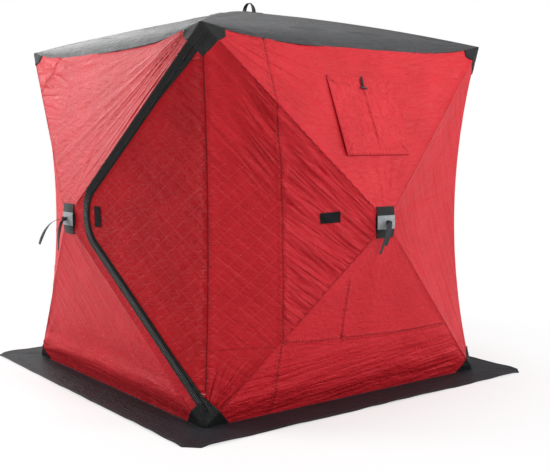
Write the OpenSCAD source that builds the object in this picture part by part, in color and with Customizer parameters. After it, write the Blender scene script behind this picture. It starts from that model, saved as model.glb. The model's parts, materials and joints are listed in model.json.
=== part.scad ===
// Pop-up ice fishing hut with four walls pushed out by hubs, a hub roof,
// a zipped wrap-round door and a ground skirt.
// Millimetres. +Z is up, the front wall with the door faces -Y.
// The origin is on the ground in the middle of the square base.

/* [Hut] */
// Side of the square base, along the bottom of one wall
base_side = 1800; // [1500:10:2200]
// Height of the four top corners above the ground
corner_height = 1800; // [1500:10:2100]
// Rise of the roof's middle above the top corners
roof_rise = 210; // [140:5:300]

/* [Hubs] */
// How far each wall hub stands out from the line of its wall
hub_reach = 230; // [170:5:280]
// Height of the wall hubs above the ground
hub_height = 900; // [800:10:1000]

/* [Fabric] */
// Thickness of the quilted shell
shell_t = 4; // [3:0.5:6]
// How far the upright corner seams are pulled in halfway up, along X and along Y
seam_pull = 78; // [50:1:100]
// How far the eaves are pulled in at the middle
eave_pull = 20; // [0:1:40]
// How far the roof cloth comes down over the top of each wall at the middle
band_drop = 65; // [40:1:90]
// How far the roof poles bow the roof upwards
roof_bow = 20; // [5:1:40]

/* [Trim] */
// Thickness of the webbing, tapes and patches
trim_t = 2.5; // [1.5:0.5:4]
// Width of the zip with both of its tapes
zip_w = 60; // [40:2:80]
// Distance from the upper pole line to the middle of the zip
zip_upper = 33; // [32:1:50]
// Distance from the lower pole line to the middle of the zip
zip_lower = 60; // [45:1:80]
// Radius of the zip's bend beside the hub
zip_bend_r = 180; // [150:5:200]
// Reach of a top corner patch along the eave
top_patch_w = 122; // [90:1:150]
// Reach of a top corner patch down the corner seam
top_patch_h = 148; // [120:1:170]
// Reach of a bottom corner patch along the ground
bottom_patch_w = 135; // [100:1:160]
// Reach of a bottom corner patch up the corner seam
bottom_patch_h = 135; // [110:1:150]

/* [Door] */
// Height of the lower end of the door's corner fold
door_bottom = 150; // [140:5:180]
// Distance from the top corner down to the upper end of the door's corner fold
door_top_gap = 160; // [150:5:190]
// Gap round the door, between its tape and the tape on the wall
door_gap = 5; // [5:0.5:8]
// Height of the door's hook-and-loop tab
door_tab_h = 100; // [60:5:140]
// Width of the door's hook-and-loop tab
door_tab_w = 36; // [25:1:50]
// Width of the tab on the right wall that holds the open door
wall_tab_w = 95; // [60:5:120]
// Height of the tab on the right wall
wall_tab_h = 50; // [35:5:70]
// Distance of the right wall's tab from the middle of that wall
wall_tab_x = 272; // [240:2:300]

/* [Windows] */
// Width of a window flap
flap_w = 417; // [340:1:440]
// Distance from the top corners down to the top edge of a window flap
flap_top_gap = 205; // [180:5:300]
// Height of the lower edge of a window flap above the hub
flap_low_gap = 319; // [200:1:350]
// Sideways slant of a window flap from its top to its bottom
flap_slant = 40; // [0:1:60]
// Thickness of a window flap
flap_t = 3; // [2:0.5:5]
// Margin of the flap round the window opening
flap_margin = 30; // [20:1:45]
// Thickness of the clear window sheet
pane_t = 1.2; // [0.8:0.1:2]

/* [Skirt] */
// Width of the ground skirt
skirt_w = 210; // [120:5:260]
// Thickness of the ground skirt
skirt_t = 3; // [2:0.5:5]
// Cut across each outer corner of the skirt
skirt_corner = 60; // [20:5:100]

/* [Hub patches] */
// Width of a hub patch
hub_patch_w = 112; // [90:2:130]
// Height of a hub patch
hub_patch_h = 150; // [120:2:180]
// Height of the reflective band across a hub patch
band_h = 66; // [40:2:80]
// Width of the pull strap webbing
strap_w = 20; // [15:1:30]

/* [Frame] */
// Diameter of a fibreglass pole
pole_d = 11; // [8:0.5:14]
// Diameter of a hub disc
hub_d = 76; // [64:1:90]
// Thickness of a hub disc
hub_disc_t = 18; // [16:1:24]
// Outer diameter of a hub's pole sockets
socket_d = 18; // [16:0.5:22]
// Length of a pole socket from the hub's middle
socket_l = 56; // [52:1:70]
// Distance of a corner ball from the shell's corner, along each axis
ball_inset = 26; // [22:1:34]

/* [Hidden] */

half = base_side / 2;
peak = [0, 0, corner_height + roof_rise];
hub = [0, -half - hub_reach, hub_height];
door_top = corner_height - door_top_gap;
sew_gap = 0.25;      // half of the seam allowance left between two panels
lay_gap = 0.4;       // room between two layers of cloth
touch_gap = 0.3;     // room between hard pieces that bear on each other
facets = 12;         // straight runs in each curved edge
far = 3 * base_side; // longer than anything in the hut
red = "#c8252f";
charcoal = "#3f4043";
black = "#222224";

// One at the middle of an edge, nothing at its ends
function hump(u) = 4 * u * (1 - u);
// Nearly one along the whole edge, falling to nothing at its ends
function plateau(u) = 1 - pow(2 * u - 1, 4);
// Only the ends of an edge, from -1 to 1
function ends(u) = sign(2 * u - 1) * pow(2 * u - 1, 8);
function seam_x(u) = half - seam_pull * hump(u);

// The rim of the front wall: u runs upwards on the seams and to +X on the eave and the ground
function rim(side, u) =
  side == "right" ? [seam_x(u), -seam_x(u), corner_height * u] :
  side == "left" ? [-seam_x(u), -seam_x(u), corner_height * u] :
  side == "top" ? [half * (2 * u - 1), -half + eave_pull * hump(u), corner_height] :
  [half * (2 * u - 1), -half, 0];

// Direction into the cloth at the rim, turned half way to the next panel at each corner
function mitre(side, u) =
  side == "right" ? [-1, 1, -pow(u, 8)] :
  side == "left" ? [1, 1, -pow(u, 8)] :
  side == "top" ? [-ends(u), 1, -1] :
  [-ends(u), 1, 0];

// The rim as straight runs
function run_of(u) = min(floor(u * facets), facets - 1);
function along(side, u) = let (i = run_of(u), f = u * facets - i)
  rim(side, i / facets) * (1 - f) + rim(side, (i + 1) / facets) * f;
function inward(side, u) = let (i = run_of(u), f = u * facets - i)
  mitre(side, i / facets) * (1 - f) + mitre(side, (i + 1) / facets) * f;

// A point of the front wall: k is 0 at the hub and 1 at the rim, d is the depth into the cloth
function skin(side, u, k, d) =
  hub * (1 - k) + along(side, u) * k + d * ((1 - k) * [0, 1, 0] + k * inward(side, u));

// Where the red cloth of a wall stops under the roof cloth
function drop_k(u) = 1 - band_drop * plateau(u) / (corner_height - hub_height);
function reach_k(side, u) = side == "top" ? drop_k(u) : 1;

// Stations along an edge, held off both ends by the seam allowance
end_u = sew_gap / base_side;
stations = [end_u, for (i = [1 : facets - 1]) i / facets, 1 - end_u];
last = len(stations) - 1;
k_gap = sew_gap / half;

function flipped(faces) = [for (f = faces) [for (i = [len(f) - 1 : -1 : 0]) f[i]]];

// One cloth panel of the front wall, from the hub to one side of the rim
module wall_panel(side, d0, d1) {
  n = last + 2;
  outer = [skin(side, 0.5, k_gap, d0), for (u = stations) skin(side, u, reach_k(side, u) - k_gap, d0)];
  inner = [skin(side, 0.5, k_gap, d1), for (u = stations) skin(side, u, reach_k(side, u) - k_gap, d1)];
  faces = [
    for (i = [1 : n - 2]) [0, i, i + 1],
    for (i = [1 : n - 2]) [n, n + i + 1, n + i],
    for (i = [0 : n - 1]) let (j = (i + 1) % n) [i, n + i, j],
    for (i = [0 : n - 1]) let (j = (i + 1) % n) [n + i, n + j, j]
  ];
  turned = side == "right" || side == "bottom";
  polyhedron(concat(outer, inner), turned ? flipped(faces) : faces);
}

// The whole front wall as one layer, from which trim is cut
module wall_layer(d0, d1) {
  steps = [for (i = [0 : facets - 1]) i / facets];
  loop = [
    for (u = steps) ["bottom", u],
    for (u = steps) ["right", u],
    for (u = steps) ["top", 1 - u],
    for (u = steps) ["left", 1 - u]
  ];
  n = len(loop) + 1;
  outer = [skin("top", 0, 0, d0), for (p = loop) skin(p[0], p[1], 1 - k_gap, d0)];
  inner = [skin("top", 0, 0, d1), for (p = loop) skin(p[0], p[1], 1 - k_gap, d1)];
  faces = [
    for (i = [1 : n - 1]) [0, i % (n - 1) + 1, i],
    for (i = [1 : n - 1]) [n, n + i, n + i % (n - 1) + 1],
    for (i = [1 : n - 1]) let (j = i % (n - 1) + 1) [i, j, n + i],
    for (i = [1 : n - 1]) let (j = i % (n - 1) + 1) [n + i, j, n + j]
  ];
  polyhedron(concat(outer, inner), faces);
}

// A shape drawn as the wall is seen from the front, carried through the wall
module through_wall() {
  rotate([90, 0, 0]) linear_extrude(far) children();
}

module trim(d, t) {
  intersection() {
    wall_layer(-d - t, -d);
    through_wall() children();
  }
}

// Copies of a front wall piece on other walls: 1 is the right wall, 2 the back, 3 the left
module on_walls(walls) {
  for (w = walls) rotate([0, 0, 90 * w]) children();
}

// ---------- the door's outline ----------

rise_angle = atan2(corner_height - hub_height, half);
fall_angle = atan2(hub_height, half);
up_off = zip_upper + zip_bend_r;
down_off = zip_lower + zip_bend_r;
bend = [
  (up_off * cos(fall_angle) + down_off * cos(rise_angle)) / sin(rise_angle + fall_angle),
  hub_height + (down_off * sin(rise_angle) - up_off * sin(fall_angle)) / sin(rise_angle + fall_angle)
];

// The area inside the zip, moved inwards by o
function zip_outline(o) = let (r = zip_bend_r - o, a0 = 90 + rise_angle, a1 = 270 - fall_angle) [
  bend + r * [cos(a0), sin(a0)] + base_side * [cos(rise_angle), sin(rise_angle)],
  for (i = [0 : 12]) let (a = a0 + (a1 - a0) * i / 12) bend + r * [cos(a), sin(a)],
  bend + r * [cos(a1), sin(a1)] + base_side * [cos(fall_angle), -sin(fall_angle)]
];

// Room between the door's folding edge and the corner seam: nearly none at its two ends
function fold_room(z) = min(door_gap, touch_gap + 0.2 + 0.08 * min(z - door_bottom, door_top - z));
function seam_at(z) = along("right", z / corner_height)[0];
fold_heights = [
  door_bottom,
  door_bottom + 60,
  for (i = [2 : facets - 2]) i * corner_height / facets,
  door_top - 60,
  door_top
];

module door_area(o) {
  intersection() {
    polygon(zip_outline(o));
    polygon([
      [0, door_bottom],
      for (z = fold_heights) [seam_at(z) - fold_room(z), z],
      [0, door_top]
    ]);
  }
}

// The hole in the wall that the door closes
module doorway_area() {
  intersection() {
    polygon(zip_outline(-door_gap / 2));
    translate([0, door_bottom - door_gap]) square([base_side, door_top - door_bottom + 2 * door_gap]);
  }
}

module top_patch_area(grow) {
  polygon([
    [half + grow, corner_height + grow],
    [half - top_patch_w - grow, corner_height + grow],
    [half - top_patch_w - grow, corner_height - 22 - grow],
    [half - 0.6 * top_patch_w - grow, corner_height - 0.5 * top_patch_h - grow],
    [half - seam_pull * hump(top_patch_h / corner_height) - grow, corner_height - top_patch_h - grow],
    [half + grow, corner_height - top_patch_h - grow]
  ]);
}

module bottom_patch_area(grow) {
  polygon([
    [half + grow, -grow],
    [half - bottom_patch_w - grow, -grow],
    [half - seam_pull * hump(bottom_patch_h / corner_height) - grow, bottom_patch_h + grow],
    [half + grow, bottom_patch_h + grow]
  ]);
}

// ---------- walls ----------

module front_wall_top() color(red) wall_panel("top", 0, shell_t);
module front_wall_bottom() color(red) wall_panel("bottom", 0, shell_t);
module front_wall_left() color(red) wall_panel("left", 0, shell_t);

// The cloth between the pole lines and the zip, above or below the hub
module front_jamb(low, high) {
  color(red) difference() {
    intersection() {
      wall_panel("right", 0, shell_t);
      translate([-half, -2 * half, low]) cube([2 * base_side, 2 * half, high - low]);
    }
    through_wall() doorway_area();
  }
}
module front_jamb_upper() front_jamb(hub_height + sew_gap, corner_height + shell_t);
module front_jamb_lower() front_jamb(-shell_t, hub_height - sew_gap);

flap_top = corner_height - flap_top_gap;
module window_area(margin) {
  top_z = flap_top - margin;
  low_z = hub_height + flap_low_gap + margin;
  side_x = flap_w / 2 - margin;
  lean = flap_slant / 2;
  polygon([[-side_x - lean, top_z], [side_x - lean, top_z], [side_x + lean, low_z], [-side_x + lean, low_z]]);
}

module window_wall_top(w) {
  color(red) on_walls([w]) difference() {
    wall_panel("top", 0, shell_t);
    through_wall() window_area(flap_margin);
  }
}
module plain_panel(w, side) color(red) on_walls([w]) wall_panel(side, 0, shell_t);

module right_wall_top() window_wall_top(1);
module right_wall_bottom() plain_panel(1, "bottom");
module right_wall_left() plain_panel(1, "left");
module right_wall_right() plain_panel(1, "right");
module back_wall_top() window_wall_top(2);
module back_wall_bottom() plain_panel(2, "bottom");
module back_wall_left() plain_panel(2, "left");
module back_wall_right() plain_panel(2, "right");
module left_wall_top() window_wall_top(3);
module left_wall_bottom() plain_panel(3, "bottom");
module left_wall_left() plain_panel(3, "left");
module left_wall_right() plain_panel(3, "right");

// ---------- door ----------

module door_panel() {
  color(red) intersection() {
    wall_panel("right", 0, shell_t);
    through_wall() door_area(door_gap / 2);
  }
}

module door_zip_tape() {
  color(black) trim(lay_gap, trim_t) difference() {
    door_area(door_gap / 2);
    polygon(zip_outline(zip_w / 2));
  }
}

module wall_zip_tape() {
  color(black) trim(lay_gap, trim_t) difference() {
    polygon(zip_outline(-zip_w / 2 + 1));
    polygon(zip_outline(zip_w / 2));
    doorway_area();
    top_patch_area(2 * sew_gap);
    bottom_patch_area(2 * sew_gap);
  }
}

tab_x = bend[0] - sqrt(pow(zip_bend_r - zip_w / 2, 2) - pow(door_tab_h / 2, 2)) + 2;
module door_tab() {
  color(black) trim(lay_gap, trim_t)
    translate([tab_x, bend[1] - door_tab_h / 2]) square([door_tab_w, door_tab_h]);
}

// The tab that the folded-back door is pressed on
module right_wall_tab() {
  color(black) on_walls([1]) trim(lay_gap, trim_t)
    translate([-wall_tab_x, bend[1] + 10]) rotate(4) square([wall_tab_w, wall_tab_h], center = true);
}

// ---------- roof ----------

roof_rows = [0.02, 0.25, 0.5, 0.75, 1];
function gore(u, r, d) =
  peak * (1 - r) + along("top", u) * r + [0, 0, roof_bow * hump(r)]
  + d * ((1 - r) * [0, 0, -1] + r * inward("top", u));

// A closed shell between two sets of rows, each row a list of points
module sheet_between(outer, inner) {
  rows = len(outer);
  n = len(outer[0]);
  all_points = [for (r = outer) each r, for (r = inner) each r];
  b = rows * n;
  faces = [
    for (j = [0 : rows - 2], i = [0 : n - 2]) let (a = j * n + i) [a, a + n + 1, a + 1],
    for (j = [0 : rows - 2], i = [0 : n - 2]) let (a = j * n + i) [a, a + n, a + n + 1],
    for (j = [0 : rows - 2], i = [0 : n - 2]) let (a = b + j * n + i) [a, a + 1, a + n + 1],
    for (j = [0 : rows - 2], i = [0 : n - 2]) let (a = b + j * n + i) [a, a + n + 1, a + n],
    for (i = [0 : n - 2]) [i, i + 1, b + i],
    for (i = [0 : n - 2]) [b + i, i + 1, b + i + 1],
    for (i = [0 : n - 2]) let (a = (rows - 1) * n + i) [a, b + a, a + 1],
    for (i = [0 : n - 2]) let (a = (rows - 1) * n + i) [b + a, b + a + 1, a + 1],
    for (j = [0 : rows - 2]) let (a = j * n) [a, b + a, a + n],
    for (j = [0 : rows - 2]) let (a = j * n) [b + a, b + a + n, a + n],
    for (j = [0 : rows - 2]) let (a = j * n + n - 1) [a, a + n, b + a],
    for (j = [0 : rows - 2]) let (a = j * n + n - 1) [b + a, a + n, b + a + n]
  ];
  polyhedron(all_points, flipped(faces));
}

function gore_rows(d) = [
  for (r = roof_rows) [for (u = stations) gore(u, r, d)],
  [for (u = stations) skin("top", u, min(drop_k(u) + k_gap, 1 - k_gap), d)]
];
module roof_gore(w) {
  color(charcoal) on_walls([w]) sheet_between(gore_rows(0), gore_rows(shell_t));
}
module roof_front() roof_gore(0);
module roof_right() roof_gore(1);
module roof_back() roof_gore(2);
module roof_left() roof_gore(3);

// ---------- skirt ----------

skirt_in = half + 1.3;
skirt_out = half + skirt_w;
module skirt_side(w) {
  color(charcoal) on_walls([w]) linear_extrude(skirt_t) polygon([
    [-skirt_in + sew_gap, -skirt_in],
    [skirt_in - sew_gap, -skirt_in],
    [skirt_out - skirt_corner / 2 - sew_gap, -skirt_out + skirt_corner / 2],
    [skirt_out - skirt_corner, -skirt_out],
    [-skirt_out + skirt_corner, -skirt_out],
    [-skirt_out + skirt_corner / 2 + sew_gap, -skirt_out + skirt_corner / 2]
  ]);
}
module skirt_front() skirt_side(0);
module skirt_right() skirt_side(1);
module skirt_back() skirt_side(2);
module skirt_left() skirt_side(3);

// ---------- patches, flaps and straps ----------

module both_ends() {
  children();
  mirror([1, 0, 0]) children();
}

module top_corner_patches() {
  color(black) on_walls([0 : 3]) both_ends() trim(lay_gap, trim_t) top_patch_area(0);
}

module bottom_corner_patches() {
  color(black) on_walls([0 : 3]) both_ends() trim(lay_gap, trim_t) intersection() {
    bottom_patch_area(0);
    translate([0, skirt_t + 1]) square(base_side);
  }
}

module window_flaps() {
  color(red) on_walls([1 : 3]) trim(lay_gap, flap_t) window_area(0);
}

// Clear sheets sewn behind the window openings
module window_panes() {
  color([0.85, 0.9, 0.95, 0.4]) on_walls([1 : 3]) intersection() {
    wall_layer(shell_t + lay_gap, shell_t + lay_gap + pane_t);
    through_wall() window_area(flap_margin / 2);
  }
}

// A short strap with a bar on the end, at the top of each flap
toggle_strap_l = 62;
toggle_strap_w = 12;
toggle_bar_d = 9;
toggle_bar_l = 46;
module flap_toggles() {
  d = 2 * lay_gap + flap_t;
  bar_z = flap_top - toggle_strap_l;
  x = -flap_slant / 4;
  bar_y = skin("top", 0.5, (bar_z - hub_height) / (corner_height - hub_height), -d)[1];
  color(black) on_walls([1 : 3]) union() {
    trim(d, trim_t) translate([x - toggle_strap_w / 2, bar_z]) square([toggle_strap_w, toggle_strap_l]);
    translate([x - toggle_bar_l / 2, bar_y - toggle_bar_d / 2 - 1, bar_z])
      rotate([0, 90, 0]) cylinder(h = toggle_bar_l, d = toggle_bar_d, $fn = 32);
  }
}

module hub_patches() {
  color(black) on_walls([0 : 3]) trim(lay_gap, trim_t)
    translate([0, hub_height]) square([hub_patch_w, hub_patch_h], center = true);
  color(black) on_walls([0 : 3]) sheet_between(
    [for (r = [0.02, 0.06]) [for (u = stations) gore(u, r, -lay_gap - trim_t)]],
    [for (r = [0.02, 0.06]) [for (u = stations) gore(u, r, -lay_gap)]]
  );
}

reflect_d = 2 * lay_gap + trim_t;
reflect_t = 0.8;
module reflective_bands() {
  color("silver") on_walls([0 : 3]) trim(reflect_d, reflect_t)
    translate([0, hub_height]) square([hub_patch_w, band_h], center = true);
}

// A flat strap along a path, its width along one fixed direction
module ribbon(path, across, w, t) {
  n = len(path);
  function unit(v) = v / norm(v);
  function heading(i) = unit(path[min(i + 1, n - 1)] - path[max(i - 1, 0)]);
  a = unit(across) * w / 2;
  rings = [for (i = [0 : n - 1]) let (b = unit(cross(heading(i), across)) * t / 2)
    each [path[i] - a - b, path[i] + a - b, path[i] + a + b, path[i] - a + b]];
  faces = [
    [0, 1, 2, 3],
    for (i = [0 : n - 2], j = [0 : 3]) let (p = 4 * i, q = (j + 1) % 4) [p + j, p + 4 + j, p + q],
    for (i = [0 : n - 2], j = [0 : 3]) let (p = 4 * i, q = (j + 1) % 4) [p + q, p + 4 + j, p + 4 + q],
    [4 * n - 1, 4 * n - 2, 4 * n - 3, 4 * n - 4]
  ];
  polyhedron(rings, faces);
}

knot_d = 26;
knot_l = 16;
knot_y = hub[1] - reflect_d - reflect_t - touch_gap;
// The webbing that pulls a wall out: a knot on the patch and two hanging tails
module wall_strap() {
  translate([0, knot_y, hub_height]) rotate([90, 0, 0]) cylinder(h = knot_l, d = knot_d, $fn = 32);
  mid_y = knot_y - knot_l / 2;
  ribbon([
    [-8, mid_y, hub_height], [-12, mid_y - 30, hub_height - 4], [-18, mid_y - 62, hub_height - 20],
    [-26, mid_y - 88, hub_height - 52], [-34, mid_y - 106, hub_height - 92], [-40, mid_y - 116, hub_height - 124]
  ], [1, -0.3, 0], strap_w, trim_t);
  ribbon([
    [6, mid_y, hub_height - 2], [8, mid_y - 16, hub_height - 14], [9, mid_y - 28, hub_height - 44],
    [8, mid_y - 34, hub_height - 84], [6, mid_y - 36, hub_height - 124], [3, mid_y - 36, hub_height - 156]
  ], [1, 0.2, 0], strap_w, trim_t);
}

loop_w = 92;
loop_h = 56;
loop_foot = gore(0.5, (loop_w - 2 * trim_t) / base_side, -lay_gap - trim_t - touch_gap)[2];
module pull_straps() {
  color(charcoal) on_walls([0 : 3]) wall_strap();
  color(charcoal) ribbon(
    [for (a = [0 : 15 : 180]) [loop_w / 2 * cos(a), 0, loop_foot + loop_h * sin(a)]], [0, 1, 0], strap_w, trim_t);
}

// ---------- frame ----------

function plane_gap(p, a, b, c) = let (n = cross(b - a, c - a)) abs((p - a) * n) / norm(n);

top_ball = [half - ball_inset, -half + ball_inset, corner_height - ball_inset];
low_ball = [half - ball_inset, -half + ball_inset, ball_inset];
edge_u = 1 / facets;
top_ball_r = min(
  plane_gap(top_ball, skin("top", 0, 0, shell_t), skin("right", 1, 1, shell_t),
    skin("right", 1 - edge_u, 1, shell_t)),
  plane_gap(top_ball, skin("top", 0, 0, shell_t), skin("top", 1, 1, shell_t),
    skin("top", 1 - edge_u, 1, shell_t))
) - touch_gap;
low_ball_r = min(
  plane_gap(low_ball, skin("top", 0, 0, shell_t), skin("right", 0, 1, shell_t),
    skin("right", edge_u, 1, shell_t)),
  ball_inset - 1
) - touch_gap;

// The steepest slope of a wall near its hub, which the hub disc has to clear
wall_slope = max(
  (hub_reach + seam_pull) / (half - seam_pull),
  (hub_reach + eave_pull) / (corner_height - hub_height),
  hub_reach / hub_height
);
disc_back = shell_t + hub_d / 2 * wall_slope + touch_gap;
hub_mid = hub + [0, disc_back + hub_disc_t / 2, 0];
roof_disc_back = shell_t + hub_d / 2 * roof_rise / half + touch_gap;
roof_mid = peak - [0, 0, roof_disc_back + hub_disc_t / 2];

// A cylinder between two points
module bar(a, b, d) {
  v = b - a;
  translate(a) rotate([0, acos(v[2] / norm(v)), atan2(v[1], v[0])]) cylinder(h = norm(v), d = d, $fn = 32);
}
function toward(a, b, l) = a + (b - a) * l / norm(b - a);
function mirrored(p) = [-p[0], p[1], p[2]];
wall_ends = [[top_ball, top_ball_r], [low_ball, low_ball_r],
  [mirrored(top_ball), top_ball_r], [mirrored(low_ball), low_ball_r]];

module pole_hubs() {
  color(black) on_walls([0 : 3]) union() {
    translate(hub_mid + [0, hub_disc_t / 2, 0]) rotate([90, 0, 0]) cylinder(h = hub_disc_t, d = hub_d, $fn = 64);
    for (e = wall_ends) bar(hub_mid, toward(hub_mid, e[0], socket_l), socket_d);
  }
  color(black) union() {
    translate(roof_mid - [0, 0, hub_disc_t / 2]) cylinder(h = hub_disc_t, d = hub_d, $fn = 64);
    on_walls([0 : 3]) bar(roof_mid, toward(roof_mid, top_ball, socket_l), socket_d);
  }
}

module pole_between(middle, end, end_r) {
  bar(toward(middle, end, socket_l + touch_gap), toward(end, middle, end_r + touch_gap), pole_d);
}
module wall_poles(w) {
  color("#d9d6cc") on_walls([w]) for (e = wall_ends) pole_between(hub_mid, e[0], e[1]);
}
module front_poles() wall_poles(0);
module right_poles() wall_poles(1);
module back_poles() wall_poles(2);
module left_poles() wall_poles(3);
module roof_poles() {
  color("#d9d6cc") on_walls([0 : 3]) pole_between(roof_mid, top_ball, top_ball_r);
}

module corner_balls() {
  color(black) on_walls([0 : 3]) translate(top_ball) sphere(r = top_ball_r, $fn = 48);
  color(black) on_walls([0 : 3]) translate(low_ball) sphere(r = low_ball_r, $fn = 48);
}

front_wall_top();
front_wall_bottom();
front_wall_left();
front_jamb_upper();
front_jamb_lower();
wall_zip_tape();
door_panel();
door_zip_tape();
door_tab();
right_wall_top();
right_wall_bottom();
right_wall_left();
right_wall_right();
right_wall_tab();
back_wall_top();
back_wall_bottom();
back_wall_left();
back_wall_right();
left_wall_top();
left_wall_bottom();
left_wall_left();
left_wall_right();
roof_front();
roof_right();
roof_back();
roof_left();
skirt_front();
skirt_right();
skirt_back();
skirt_left();
top_corner_patches();
bottom_corner_patches();
window_flaps();
window_panes();
flap_toggles();
hub_patches();
reflective_bands();
pull_straps();
pole_hubs();
front_poles();
right_poles();
back_poles();
left_poles();
roof_poles();
corner_balls();
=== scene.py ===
import json
import math

import bpy
import numpy as np
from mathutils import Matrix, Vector
from mathutils.geometry import delaunay_2d_cdt

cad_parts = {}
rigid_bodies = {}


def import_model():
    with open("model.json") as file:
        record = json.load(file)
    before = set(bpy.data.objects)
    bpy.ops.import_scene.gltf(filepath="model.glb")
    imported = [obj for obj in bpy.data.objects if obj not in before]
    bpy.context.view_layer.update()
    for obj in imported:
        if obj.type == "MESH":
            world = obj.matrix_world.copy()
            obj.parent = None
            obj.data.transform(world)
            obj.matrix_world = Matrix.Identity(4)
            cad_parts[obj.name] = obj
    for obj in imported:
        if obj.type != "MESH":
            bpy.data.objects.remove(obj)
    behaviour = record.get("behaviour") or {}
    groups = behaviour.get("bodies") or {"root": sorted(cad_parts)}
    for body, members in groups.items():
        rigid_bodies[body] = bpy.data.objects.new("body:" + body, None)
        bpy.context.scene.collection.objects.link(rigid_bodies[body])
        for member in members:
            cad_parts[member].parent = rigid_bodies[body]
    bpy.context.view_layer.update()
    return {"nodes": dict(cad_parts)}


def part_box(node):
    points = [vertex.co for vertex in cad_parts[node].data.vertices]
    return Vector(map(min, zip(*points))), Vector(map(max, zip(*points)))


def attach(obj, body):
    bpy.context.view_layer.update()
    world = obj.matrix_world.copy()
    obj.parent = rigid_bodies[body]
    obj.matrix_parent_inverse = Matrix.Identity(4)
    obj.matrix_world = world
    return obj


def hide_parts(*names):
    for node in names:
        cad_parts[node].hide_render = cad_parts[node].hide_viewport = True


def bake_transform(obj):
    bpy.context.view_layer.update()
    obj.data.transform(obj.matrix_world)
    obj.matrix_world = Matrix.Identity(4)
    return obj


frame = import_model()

# ---------- camera ----------
# Stands a little above hub height, off the corner between the door wall and a window wall, with a
# lens long enough that the walls keep their proportions.
camera_data = bpy.data.cameras.new("camera")
camera = bpy.data.objects.new("camera", camera_data)
bpy.context.scene.collection.objects.link(camera)
bpy.context.scene.camera = camera
camera.location = (4.294, -3.078, 1.284)
camera.rotation_euler = Vector((-0.79218, 0.60169, -0.10204)).to_track_quat("-Z", "Y").to_euler()
camera_data.sensor_width = 36
camera_data.lens = 60.19

# ---------- the shape of the shell ----------
# Four walls of cloth, each pushed out into a shallow pyramid by the hub in its middle and pulled in
# between its corners. Every cloth piece and patch takes its place from these few curves.
half = round(-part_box("front_wall_left")[0].x, 3)
corner_height = round(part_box("front_wall_left")[1].z, 3)
hub_y = round(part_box("front_wall_left")[0].y, 3)
hub_height = round(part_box("front_jamb_lower")[1].z, 3)
upper = corner_height - hub_height
shell_thickness = 0.004
seam_pull = 0.078
eave_pull = 0.020
hub_dome = 0.006
hub_dome_width = 0.050


def hump(u):
    return 4 * u * (1 - u)


def seam_x(z):
    return half - seam_pull * hump(np.clip(z / corner_height, 0, 1))


def sector(x, z):
    """0 above the hub, 1 beside it on +X, 2 below it, 3 beside it on -X."""
    top = (z > hub_height) & (np.abs(x) * upper <= half * (z - hub_height))
    bottom = (z <= hub_height) & (np.abs(x) * hub_height <= half * (hub_height - z))
    return np.where(top, 0, np.where(bottom, 2, np.where(x > 0, 1, 3)))


def side_reach(x, z):
    """How far out from the hub a point of a side panel lies, 1 at the corner seam."""
    ax, u = np.abs(x), z / corner_height
    for _ in range(12):
        k = np.maximum(ax / seam_x(u * corner_height), 1e-6)
        u = np.clip((hub_height + (z - hub_height) / k) / corner_height, 0, 1)
    return k, u


def wall_frame(x, z):
    """Depth of the taut cloth for a point drawn on the wall's front view, and the way into the cloth."""
    x, z = np.asarray(x, float), np.asarray(z, float)
    s = sector(x, z)
    k_side, u_side = side_reach(x, z)
    k_top = np.clip((z - hub_height) / upper, 1e-6, 1)
    u_top = np.clip((x / (k_top * half) + 1) / 2, 0, 1)
    k_low = np.clip((hub_height - z) / hub_height, 1e-6, 1)
    u_low = np.clip((x / (k_low * half) + 1) / 2, 0, 1)
    k = np.choose(s, [k_top, k_side, k_low, k_side])
    y = hub_y * (1 - k) + np.choose(s, [
        (eave_pull * hump(u_top) - half) * k, -np.abs(x), -half * k, -np.abs(x)])
    y = y + hub_dome * np.exp(-(x ** 2 + (z - hub_height) ** 2) / hub_dome_width ** 2)
    ends_top = np.sign(2 * u_top - 1) * np.abs(2 * u_top - 1) ** 8
    ends_low = np.sign(2 * u_low - 1) * np.abs(2 * u_low - 1) ** 8
    into_x = np.choose(s, [-ends_top, -np.sign(x), -ends_low, -np.sign(x)]) * k
    into_z = np.choose(s, [-1.0, -u_side ** 8, 0.0, -u_side ** 8]) * k
    return y, np.stack([into_x, np.ones_like(k), into_z], 1)


def place(points, wall):
    """Turns points of the front wall round to another wall: 1 is the right one, 2 the back, 3 the left."""
    x, y, z = points[:, 0], points[:, 1], points[:, 2]
    for _ in range(wall):
        x, y = -y, x
    return np.stack([x, y, z], 1)


def noise(across, along, seed):
    """Smooth random heights from -1 to 1 on a grid of unit cells."""
    across, along = np.broadcast_arrays(np.asarray(across, float), np.asarray(along, float))
    i, j = np.floor(across).astype(np.int64), np.floor(along).astype(np.int64)
    f, g = across - i, along - j
    f, g = f * f * f * (f * (f * 6 - 15) + 10), g * g * g * (g * (g * 6 - 15) + 10)

    def corner(di, dj):
        h = ((i + di) * 374761393 + (j + dj) * 668265263 + seed * 974711) & 0xFFFFFFFF
        h = ((h ^ (h >> 13)) * 1274126177) & 0xFFFFFFFF
        return ((h ^ (h >> 16)) & 0xFFFF) / 32767.5 - 1

    low = corner(0, 0) * (1 - f) + corner(1, 0) * f
    return low * (1 - g) + (corner(0, 1) * (1 - f) + corner(1, 1) * f) * g


def line_distance(x, z, points):
    """Distance to a drawn line, and how far along the line the nearest place is."""
    best, where, run = np.full(len(x), 9.0), np.zeros(len(x)), 0.0
    for (ax, az), (bx, bz) in zip(points, points[1:]):
        dx, dz = bx - ax, bz - az
        length = math.hypot(dx, dz)
        t = np.clip(((x - ax) * dx + (z - az) * dz) / length ** 2, 0, 1)
        d = np.hypot(x - ax - t * dx, z - az - t * dz)
        where = np.where(d < best, run + t * length, where)
        best = np.minimum(best, d)
        run += length
    return best, where


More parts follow.
